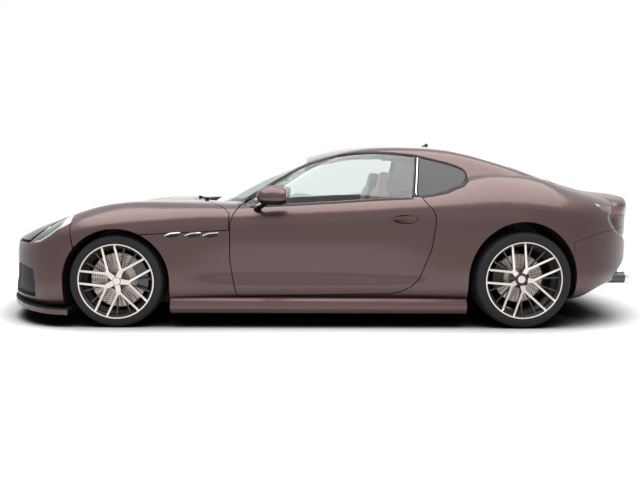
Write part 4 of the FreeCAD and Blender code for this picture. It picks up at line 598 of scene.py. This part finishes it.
class Skin:
    """The outer faces of some CAD nodes, on which trim is laid."""

    def __init__(self, *nodes: str) -> None:
        """Keeps the nodes whose faces are met."""
        self.nodes = [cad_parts[node] for node in nodes]

    def touch(self, start: Vector, way: Vector) -> tuple[Vector, Vector] | None:
        """The first point, and its normal, that a line from a start meets on any of the nodes."""
        hits = []
        for node in self.nodes:
            met, place, normal, _ = node.ray_cast(start, way)
            if met:
                hits.append(((place - start).length, place, normal))
        if not hits:
            return None
        _, place, normal = min(hits, key=lambda hit: hit[0])
        return place, normal if normal.dot(way) < 0 else -normal

    def project(self, line: np.ndarray, side: Side) -> tuple[np.ndarray, np.ndarray]:
        """Lays a side-view line on the skin.

        Args:
            line: (x, z) places.
            side: the side of the car that they are seen from.

        Returns:
            The points on the skin and the skin's normals there; a miss takes its neighbour's depth.
        """
        start_y = side.value * SIDE_REACH
        way = Vector((0.0, -side.value, 0.0))
        found = [self.touch(Vector((x, start_y, z)), way) for x, z in line]
        known = [i for i, hit in enumerate(found) if hit]
        if not known:
            raise ValueError(f"no skin beside the line from {line[0]} to {line[-1]}")
        numbers = np.arange(len(line))
        points = np.array([found[i][0] for i in known])
        normals = np.array([found[i][1] for i in known])
        depth = np.interp(numbers, known, points[:, 1])
        facing = np.stack([np.interp(numbers, known, normals[:, i]) for i in range(3)], axis=-1)
        facing /= np.linalg.norm(facing, axis=1)[:, None]
        return np.stack((line[:, 0], depth, line[:, 1]), axis=-1), facing


@dataclass
class Strips:
    """Flat trim laid on the skin: window surrounds, belt strips, bright bars and blades."""

    lift: float = 0.0012
    sink: float = 0.0030
    step: float = 0.012
    surround_gap: float = 0.0012
    surround_width: float = 0.015
    belt_top: float = -0.006
    belt_foot: float = -0.018
    bar_lift: float = 0.003
    bar_sink: float = 0.001
    blade_foot: float = 0.0005
    blade_top: float = 0.0075
    surround: tuple = ((-0.647, 0.868), (-0.536, 0.948), (-0.384, 1.039), (-0.272, 1.108),
                       (-0.196, 1.151), (-0.123, 1.185), (-0.009, 1.223), (0.103, 1.247),
                       (0.217, 1.263), (0.366, 1.272), (0.519, 1.266), (0.674, 1.250),
                       (0.785, 1.224), (0.902, 1.197), (0.978, 1.174), (1.025, 1.152),
                       (1.045, 1.130), (1.049, 1.114), (1.045, 1.092), (1.037, 1.074),
                       (0.999, 1.040), (0.943, 1.019), (0.870, 0.989), (0.759, 0.967),
                       (0.690, 0.958))
    belt: tuple = ((-0.560, 0.877), (-0.416, 0.887), (-0.196, 0.898), (0.097, 0.917),
                   (0.390, 0.938), (0.628, 0.951))
    post_front: tuple = ((0.637, 0.957), (0.677, 1.249))
    post_rear: tuple = ((0.672, 0.957), (0.712, 1.243))
    bar_front: tuple = ((0.652, 0.962), (0.690, 1.240))
    bar_rear: tuple = ((0.660, 0.962), (0.698, 1.240))
    vent_edges: tuple = (((-1.151, 0.660), (-1.110, 0.676), (-1.042, 0.6815)),
                         ((-1.009, 0.660), (-0.968, 0.676), (-0.900, 0.6815)),
                         ((-0.885, 0.660), (-0.844, 0.676), (-0.776, 0.6815)))

    def lay(self, name: str, first: np.ndarray, second: np.ndarray, skin: Skin, side: Side,
            material: Material, body: str) -> Object:
        """Lays a strip between two side-view lines.

        Each section is the quadrilateral a − sink·n, a + lift·n, b + lift·n, b − sink·n, with a
        and b on the skin and n its normal.

        Args:
            name: the strip's name.
            first: (x, z) places of one edge.
            second: as many places of the other edge.
            skin: the faces it lies on.
            side: the side of the car.
            material: its finish.
            body: the CAD body that carries it.

        Returns:
            The strip.
        """
        a, normal_a = skin.project(first, side)
        b, normal_b = skin.project(second, side)
        rows = np.stack((a - self.sink * normal_a, a + self.lift * normal_a,
                         b + self.lift * normal_b, b - self.sink * normal_b), axis=1)
        points, faces = capped(rows)
        return add_piece(name, points, faces, material, body)

    def build(self, finishes: Finishes) -> None:
        """Lays every strip on both sides of the car."""
        for side in Side:
            word = side.name.lower()
            shell = Skin("body_shell")
            door = Skin("door_" + word)
            edge = along(self.surround, self.step)
            self.lay("window_surround_" + word, beside(edge, self.surround_gap),
                     beside(edge, self.surround_width), shell, side, finishes["GLOSS_BLACK"],
                     "car_body")
            top = along(self.belt, self.step)
            self.lay("belt_strip_" + word, beside(top, self.belt_top), beside(top, self.belt_foot),
                     door, side, finishes["GLOSS_BLACK"], word + "_door")
            self.lay("window_post_" + word, along(self.post_front, self.step),
                     along(self.post_rear, self.step), shell, side, finishes["GLOSS_BLACK"],
                     "car_body")
            post = Strips(lift=self.bar_lift, sink=self.bar_sink)
            post.lay("post_bar_" + word, along(self.bar_front, self.step),
                     along(self.bar_rear, self.step), shell, side, finishes["MACHINED"], "car_body")
            for number, line in enumerate(self.vent_edges):
                low = along(line, self.step)
                self.lay(f"vent_blade_{word}_{number}", beside(low, self.blade_foot),
                         beside(low, self.blade_top), shell, side, finishes["CHROME"],
                         "car_body")


@dataclass
class Tyre:
    """A low-profile road tyre: its section is carried round the axle."""

    size: WheelSize
    side: Side
    turns: int = 288
    blocks: int = 72
    bead_drop: float = 0.017
    groove_places: tuple[float, ...] = (-0.50, -0.17, 0.17, 0.50)
    groove_half: float = 0.030
    groove_depth: float = 0.0065
    groove_foot_share: float = 0.8
    groove_reach_share: float = 0.9
    wall_rows: int = 22
    wall_start: float = 0.014
    wall_end: float = 0.012
    wall_share: float = 0.925
    bulge_share: float = 0.055
    bulge_power: float = 0.9
    wall_limit_share: float = 0.998
    # Ribs round the sidewall: height, and place and spread as shares of its height.
    ribs: tuple = ((0.0022, 0.22, 0.06), (0.0012, 0.72, 0.04))
    tread_share: float = 0.93
    tread_shares: tuple = (-0.92, -0.84, -0.72, -0.62, -0.34, 0.0, 0.34, 0.62, 0.72, 0.84, 0.92)
    crown_drop: float = 0.003
    edge_drop: float = 0.009
    edge_power: int = 7
    inner_bead: float = 0.009
    inner_shoulder: float = 0.024
    inner_tread: float = 0.018
    inner_shares: tuple = (0.80, 0.78, 0.80, 0.55)
    cut_start_share: float = 0.56
    cut_end_share: float = 0.97
    cut_reach: float = 0.014
    cut_depth: float = 0.004
    crease: float = 28.0

    def section(self) -> tuple[np.ndarray, np.ndarray]:
        """The closed section as radii and offsets from the tyre's middle.

        Sidewall: y = h (wall + bulge · sin(π t^power)) and the ribs, for t from bead to shoulder.
        Tread: r = R − crown · w² − edge · |w|^power, less a groove's depth inside each groove.

        Returns:
            Radii and offsets, in order round the section.
        """
        half = self.size.width / 2
        bead = self.size.flange - self.bead_drop
        t = np.linspace(0.0, 1.0, self.wall_rows)
        low, high = bead + self.wall_start, self.size.radius - self.wall_end
        rib = sum(height * np.exp(-(((t - place) / spread) ** 2))
                  for height, place, spread in self.ribs)
        wall_r = low + (high - low) * t
        bulge = self.bulge_share * np.sin(math.pi * t ** self.bulge_power)
        wall_y = np.minimum(half * (self.wall_share + bulge) + rib, half * self.wall_limit_share)
        h = self.groove_half
        foot = h * self.groove_foot_share
        edges = [place + way for place in self.groove_places for way in (-h, -foot, foot, h)]
        w = np.array(sorted(edges + list(self.tread_shares)))
        edge_fall = self.edge_drop * np.abs(w) ** self.edge_power
        tread_r = self.size.radius - self.crown_drop * w ** 2 - edge_fall
        for place in self.groove_places:
            tread_r -= self.groove_depth * (np.abs(w - place) < h * self.groove_reach_share)
        tread_y = half * self.tread_share * w
        inner_r = np.array([bead, bead + self.inner_bead, self.size.radius - self.inner_shoulder,
                            self.size.radius - self.inner_tread])
        inner_y = half * np.array(self.inner_shares)
        radii = np.concatenate((wall_r, tread_r[::-1], wall_r[::-1], inner_r, inner_r[::-1]))
        offsets = np.concatenate((wall_y, tread_y[::-1], -wall_y[::-1], -inner_y, inner_y[::-1]))
        return radii, offsets

    def build(self, finishes: Finishes, corner: str) -> None:
        """Turns the section round the axle, with cuts in the shoulders, in place of the CAD tyre.

        point = (X + r cos a, Y + y, R + r sin a); r loses the cut's depth in each cut, between two
        shares of the half width.

        Args:
            finishes: the built materials.
            corner: the wheel's two letters.
        """
        radii, offsets = self.section()
        angle = np.linspace(0.0, 2 * math.pi, self.turns, endpoint=False)
        half = self.size.width / 2
        shoulder = np.abs(offsets) > self.cut_start_share * half
        shoulder &= np.abs(offsets) < self.cut_end_share * half
        shoulder &= radii > self.size.radius - self.cut_reach
        cut = (np.arange(self.turns) % (self.turns // self.blocks)) == 0
        r = radii[None, :] - self.cut_depth * cut[:, None] * shoulder[None, :]
        x = self.size.axle_x + r * np.cos(angle)[:, None]
        z = self.size.radius + r * np.sin(angle)[:, None]
        y = np.broadcast_to(self.side.value * self.size.track_half + offsets[None, :], r.shape)
        points = np.stack((x, y, z), axis=-1)
        faces = grid_faces(self.turns, len(radii), True, True)
        tyre = add_piece("road_tyre_" + corner, points, faces, finishes["RUBBER"],
                         "wheel_" + corner, self.crease)
        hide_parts("tyre_" + corner)


@dataclass
class Bolts:
    """The five wheel bolts round each hub: six-sided heads joined in one mesh."""

    size: WheelSize
    side: Side
    count: int = 5
    circle: float = 0.052
    head: float = 0.011
    height: float = 0.012
    first_turn: float = 60.0
    sides: int = 6
    foot: float = 0.030
    seat: float = 0.022

    def build(self, finishes: Finishes, corner: str) -> None:
        """Sets the heads: hexagons of radius `head` at `circle` from the axle, carried along Y.

        Args:
            finishes: the built materials.
            corner: the wheel's two letters.
        """
        face = self.size.track_half + self.size.width / 2 - self.size.dish
        levels = self.side.value * np.array([face - self.foot, face - self.seat + self.height])
        rim = np.radians(np.arange(self.sides) * (360.0 / self.sides))
        everything, all_faces, total = [], [], 0
        for turn in np.radians(self.first_turn + np.arange(self.count) * 360.0 / self.count):
            centre = (self.size.axle_x + self.circle * math.cos(turn),
                      self.size.radius + self.circle * math.sin(turn))
            rows = [np.stack((centre[0] + self.head * np.cos(rim), np.full(self.sides, y),
                              centre[1] + self.head * np.sin(rim)), axis=-1) for y in levels]
            points, faces = capped(np.array(rows))
            everything.append(points)
            all_faces.append(faces + total)
            total += len(points)
        add_piece("wheel_bolts_" + corner, np.concatenate(everything), np.concatenate(all_faces),
                  finishes["STAINLESS"], "wheel_" + corner)


@dataclass
class Wheels:
    """The four wheels: tyres and bolts, and the finishes of rims and discs."""

    def build(self, finishes: Finishes) -> None:
        """Builds and dresses every wheel."""
        for size, letter, word in ((FRONT_WHEEL, "f", "FRONT"), (REAR_WHEEL, "r", "REAR")):
            for side in Side:
                corner = letter + side.letter
                Tyre(size, side).build(finishes, corner)
                Bolts(size, side).build(finishes, corner)
                dress(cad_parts["rim_" + corner], finishes[word + "_RIM"])
                dress(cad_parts["brake_disc_" + corner], finishes[word + "_DISC"])


@dataclass
class Bodywork:
    """The CAD nodes and the finish that each one wears."""

    paint: tuple[str, ...] = ("body_shell", "front_bumper", "rear_bumper", "bonnet", "boot_lid",
                              "door_left", "door_right", "side_skirts", "front_splitter")
    glass: tuple[str, ...] = ("windscreen", "door_glass_left", "door_glass_right")
    # These panes are dyed dark as painted shade of the cabin behind them.
    glass_dark_as_painted_shade: tuple[str, ...] = ("rear_window", "quarter_glass")
    matt_black: tuple[str, ...] = ("rear_diffuser", "wipers", "fender_vents", "front_grille")
    steel: tuple[str, ...] = ("floorpan", "front_suspension", "rear_suspension")

    def dress_all(self, finishes: Finishes) -> None:
        """Dresses every panel, pane and hidden part."""
        wearing = {"PANEL": self.paint, "TINTED": self.glass, "PRIVACY": self.glass_dark_as_painted_shade,
                   "MATT_BLACK": self.matt_black, "STEEL": self.steel,
                   "CALIPER": ("knuckle_fl", "knuckle_fr"), "CAST": ("engine_block",),
                   "LEATHER": ("front_seats", "rear_seat"),
                   "CABIN": ("dashboard", "steering_wheel"), "EXHAUST": ("exhaust",),
                   "TAILLAMP": ("tail_lamps",), "HEADLAMP": ("headlamps",),
                   "MIRROR": ("mirror_left", "mirror_right")}
        for finish, nodes in wearing.items():
            for node in nodes:
                dress(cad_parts[node], finishes[finish])
        LOG.info("dressed the bodywork")


@dataclass
class Lamps:
    """The headlamps' projectors and their light lines."""

    lens_radius: float = 0.030
    ring_width: float = 0.005
    # The lens's half-width and height on the car. Its pieces carry the number 1.
    lens_place: tuple[float, float] = (0.775, 0.690)
    start_x: float = -3.0
    round_steps: int = 48
    dome_steps: int = 10
    dome_tip_angle: float = 0.02
    dome_height: float = 0.006
    dome_foot: float = -0.008
    ring_shares: tuple = (0.1, 0.1, 0.5, 1.0, 1.0)
    ring_heights: tuple = (-0.006, 0.002, 0.003, 0.001, -0.006)
    line_lower: tuple = ((-2.090, 0.603), (-2.040, 0.611), (-1.965, 0.655), (-1.895, 0.712),
                         (-1.850, 0.742))
    line_width: float = 0.006

    def projector(self, place: Vector, normal: Vector, name: str, finishes: Finishes) -> None:
        """Sets a domed lens with a bright ring round it on the lamp's cover.

        Dome: r = R sin t, h = H cos t; ring: a rounded band from R to R + w.

        Args:
            place: the lens's centre on the cover.
            normal: the way it faces.
            name: the piece's name.
            finishes: the built materials.
        """
        turn = normal.to_track_quat("Z", "Y").to_matrix()
        angle = np.linspace(0.0, 2 * math.pi, self.round_steps, endpoint=False)
        t = np.linspace(math.pi / 2, self.dome_tip_angle, self.dome_steps)
        dome_r = np.concatenate(([0.0], self.lens_radius * np.sin(t), [0.0]))
        dome_h = np.concatenate(([self.dome_foot], self.dome_height * np.cos(t),
                                 [self.dome_height]))
        ring_r = self.lens_radius + self.ring_width * np.array(self.ring_shares)
        ring_h = np.array(self.ring_heights)
        for radii, heights, closed, part, finish in (
                (dome_r, dome_h, False, "lens", "TEAL"), (ring_r, ring_h, True, "ring", "CHROME")):
            local = np.stack((radii[:, None] * np.cos(angle), radii[:, None] * np.sin(angle),
                              np.broadcast_to(heights[:, None], (len(radii), self.round_steps))),
                             axis=-1)
            points = local @ np.array(turn).T + np.array(place)
            faces = grid_faces(len(radii), self.round_steps, closed, True)
            add_piece(f"{name}_{part}", points, faces, finishes[finish], "car_body")

    def build(self, finishes: Finishes) -> None:
        """Builds both headlamps' details."""
        cover = Skin("headlamps")
        way = Vector((1.0, 0.0, 0.0))
        strips = Strips()
        for side in Side:
            word = side.name.lower()
            y, z = self.lens_place
            hit = cover.touch(Vector((self.start_x, side.value * y, z)), way)
            if hit:
                self.projector(hit[0], hit[1], f"headlamp_{word}_1", finishes)
            edge = along(self.line_lower, strips.step)
            strips.lay("light_line_" + word, edge, beside(edge, self.line_width), cover, side,
                       finishes["PALE_LENS"], "car_body")


@dataclass
class Seats:
    """Leather over the CAD seats: each is remeshed in even cells and smoothed."""

    voxel: float = 0.010
    rounds: int = 10
    pull_share: float = 0.5
    weld: float = 1e-5
    fill: float = 0.8

    def cover(self, node: str, finishes: Finishes) -> None:
        """Makes the upholstered copy of a seat node.

        The copy's points are joined and remeshed, and each moves part of the way to the mean of
        its neighbours a few times, which rounds the cushions.

        Args:
            node: the CAD node.
            finishes: the built materials.
        """
        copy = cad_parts[node].data.copy()
        work = bmesh.new()
        work.from_mesh(copy)
        bmesh.ops.remove_doubles(work, verts=work.verts, dist=self.weld)
        work.to_mesh(copy)
        work.free()
        seat = bpy.data.objects.new("upholstered_" + node, copy)
        bpy.context.scene.collection.objects.link(seat)
        remesh = seat.modifiers.new("even_cells", "REMESH")
        remesh.mode = "VOXEL"
        remesh.voxel_size = self.voxel
        smooth = seat.modifiers.new("crown", "SMOOTH")
        smooth.factor = self.pull_share
        smooth.iterations = self.rounds
        shown = seat.evaluated_get(bpy.context.evaluated_depsgraph_get())
        mesh = bpy.data.meshes.new_from_object(shown)
        seat.modifiers.clear()
        seat.data = mesh
        mesh.polygons.foreach_set("use_smooth", np.ones(len(mesh.polygons), dtype=bool))
        dress(seat, finishes["LEATHER"])
        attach(seat, "car_body")
        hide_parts(node)
        LOG.info("%s: %d faces", seat.name, len(mesh.polygons))

    def build(self, finishes: Finishes) -> None:
        """Covers the front and rear seats."""
        for node in ("front_seats", "rear_seat"):
            self.cover(node, finishes)


@dataclass
class Stage:
    """The pale floor, the white surroundings, the studio lamps and the camera."""

    floor_half: float = 60.0
    fade_start: float = 3.3
    fade_end: float = 4.6
    # Painted shade: within this reach, ambient occlusion darkens the floor's colour between these
    # levels, down to the least share.
    painted_shade_reach: float = 0.8
    painted_shade_start: float = 0.30
    painted_shade_end: float = 0.85
    painted_shade_least: float = 0.02
    paper_tones: tuple[str, str] = ("F4F4F4", "F8F8F8")
    paper_scale: float = 2.0
    soft_light: float = 0.35
    # Each lamp's name, place, target, size and power.
    lamps: tuple = (("overhead_softbox", (0.0, -1.6, 4.4), (0.0, -1.6, 0.0), (9.0, 5.4), 700.0),
                    ("near_fill", (0.0, -8.5, 2.6), (0.0, 0.0, 0.7), (9.0, 3.0), 40.0),
                    ("far_fill", (0.0, 7.5, 3.2), (0.0, 0.0, 0.8), (9.0, 3.0), 90.0))
    camera_place: tuple[float, float, float] = (-0.2125, -5.4, 1.063)
    yaw: float = 2.06
    pitch: float = 5.43
    roll: float = 0.58
    focal_px: float = 628.0
    picture_width_px: float = 640.0
    sensor_mm: float = 36.0

    def build_floor(self) -> None:
        """Lays a flat square at z = 0 that is white to the eye, keeps the car's shadow and carries
        painted shade under the car.
        """
        half = self.floor_half
        corners = [(-half, -half, 0.0), (half, -half, 0.0), (half, half, 0.0), (-half, half, 0.0)]
        mesh = bpy.data.meshes.new("studio_floor")
        mesh.from_pydata(corners, [], [(0, 1, 2, 3)])
        floor = bpy.data.objects.new("studio_floor", mesh)
        bpy.context.scene.collection.objects.link(floor)
        dress(floor, self.floor_material())

    def seen_white(self, material: Material) -> Socket:
        """Adds the nodes that are 1 for camera, glossy and transmission rays."""
        path = add_node(material, "LightPath")
        first = arithmetic(material, "MAXIMUM", path.outputs["Is Camera Ray"],
                           path.outputs["Is Transmission Ray"])
        return arithmetic(material, "MAXIMUM", first, path.outputs["Is Glossy Ray"])

    def floor_material(self) -> Material:
        """White paper near the car, darkened under it by ambient occlusion as painted shade, that
        turns to the plain white of the surroundings far off.
        """
        material = blank_material("studio_paper_pale")
        place = object_place(material)
        noise = add_node(material, "TexNoise", {"Scale": self.paper_scale},
                         {"Vector": place})
        dark, light = (linear(tone) for tone in self.paper_tones)
        tone = add_node(material, "Mix", {"data_type": "RGBA", 6: dark, 7: light},
                        {0: noise.outputs["Fac"]})
        # Painted shade: ambient occlusion darkens the paper's colour towards black under the car.
        near = add_node(material, "AmbientOcclusion",
                        {"Distance": self.painted_shade_reach}, {"Color": tone.outputs[2]})
        depth = ramp(material, near.outputs["AO"], self.painted_shade_start, self.painted_shade_end,
                     self.painted_shade_least)
        shade = add_node(material, "Mix", {"data_type": "RGBA", 6: (0.0, 0.0, 0.0, 1.0)},
                         {0: depth, 7: tone.outputs[2]})
        paper = add_node(material, "BsdfDiffuse", None, {"Color": shade.outputs[2]})
        white = add_node(material, "Emission", {"Strength": 1.0})
        away = add_node(material, "VectorMath", {"operation": "LENGTH"}, {0: place})
        far = add_node(material, "MapRange",
                       {"interpolation_type": "SMOOTHSTEP", "From Min": self.fade_start,
                        "From Max": self.fade_end}, {"Value": away.outputs["Value"]})
        share = arithmetic(material, "MULTIPLY", far.outputs[0], self.seen_white(material))
        mix = add_node(material, "MixShader", None,
                       {0: share, 1: paper.outputs[0], 2: white.outputs[0]})
        return finish_surface(material, mix)

    def build_world(self) -> None:
        """White surroundings to the eye and in reflections, and a soft grey light on the car."""
        world = bpy.data.worlds.new("studio")
        bpy.context.scene.world = world
        world.use_nodes = True
        world.node_tree.nodes.clear()
        strength = ramp(world, self.seen_white(world), 0.0, 1.0, self.soft_light)
        background = add_node(world, "Background", {"Color": (1.0, 1.0, 1.0, 1.0)},
                              {"Strength": strength})
        output = add_node(world, "OutputWorld")
        world.node_tree.links.new(background.outputs[0], output.inputs["Surface"])

    def lamp(self, name: str, place: tuple[float, float, float], target: tuple[float, float, float],
             size: tuple[float, float], power: float) -> None:
        """Hangs one soft rectangular lamp.

        Args:
            name: the lamp's name.
            place: its centre, in metres.
            target: the point it faces.
            size: its width and height, in metres.
            power: its power in watts.
        """
        data = bpy.data.lights.new(name, "AREA")
        data.shape = "RECTANGLE"
        data.size, data.size_y = size
        data.energy = power
        obj = bpy.data.objects.new(name, data)
        obj.location = place
        obj.rotation_euler = (Vector(target) - Vector(place)).to_track_quat("-Z", "Y").to_euler()
        bpy.context.scene.collection.objects.link(obj)

    def build_lamps(self) -> None:
        """Hangs the long overhead softbox and the two weak fills."""
        for row in self.lamps:
            self.lamp(*row)

    def build_camera(self) -> None:
        """Sets up the camera that was fitted to the photograph."""
        yaw, pitch, roll = (math.radians(a) for a in (self.yaw, self.pitch, self.roll))
        ahead = Vector((math.sin(yaw), math.cos(yaw), 0.0))
        level = Vector((math.cos(yaw), -math.sin(yaw), 0.0))
        up = Vector((0.0, 0.0, 1.0))
        look = ahead * math.cos(pitch) - up * math.sin(pitch)
        crown = ahead * math.sin(pitch) + up * math.cos(pitch)
        right = level * math.cos(roll) + crown * math.sin(roll)
        top = crown * math.cos(roll) - level * math.sin(roll)
        data = bpy.data.cameras.new("photo_camera")
        data.sensor_width = self.sensor_mm
        data.lens = self.focal_px / self.picture_width_px * self.sensor_mm
        obj = bpy.data.objects.new("photo_camera", data)
        turn = Matrix((right, top, -look)).transposed().to_4x4()
        obj.matrix_world = Matrix.Translation(self.camera_place) @ turn
        bpy.context.scene.collection.objects.link(obj)
        bpy.context.scene.camera = obj

    def build(self) -> None:
        """Builds the floor, surroundings, lamps and camera."""
        self.build_floor()
        self.build_world()
        self.build_lamps()
        self.build_camera()
        bpy.context.scene.view_settings.view_transform = "Standard"
        LOG.info("set the stage")


def main() -> None:
    """Builds each sub-assembly in order."""
    logging.basicConfig(level=logging.INFO)
    finishes = Finishes()
    Bodywork().dress_all(finishes)
    Wheels().build(finishes)
    Strips().build(finishes)
    Lamps().build(finishes)
    Seats().build(finishes)
    Stage().build()


if __name__ == "__main__":
    main()
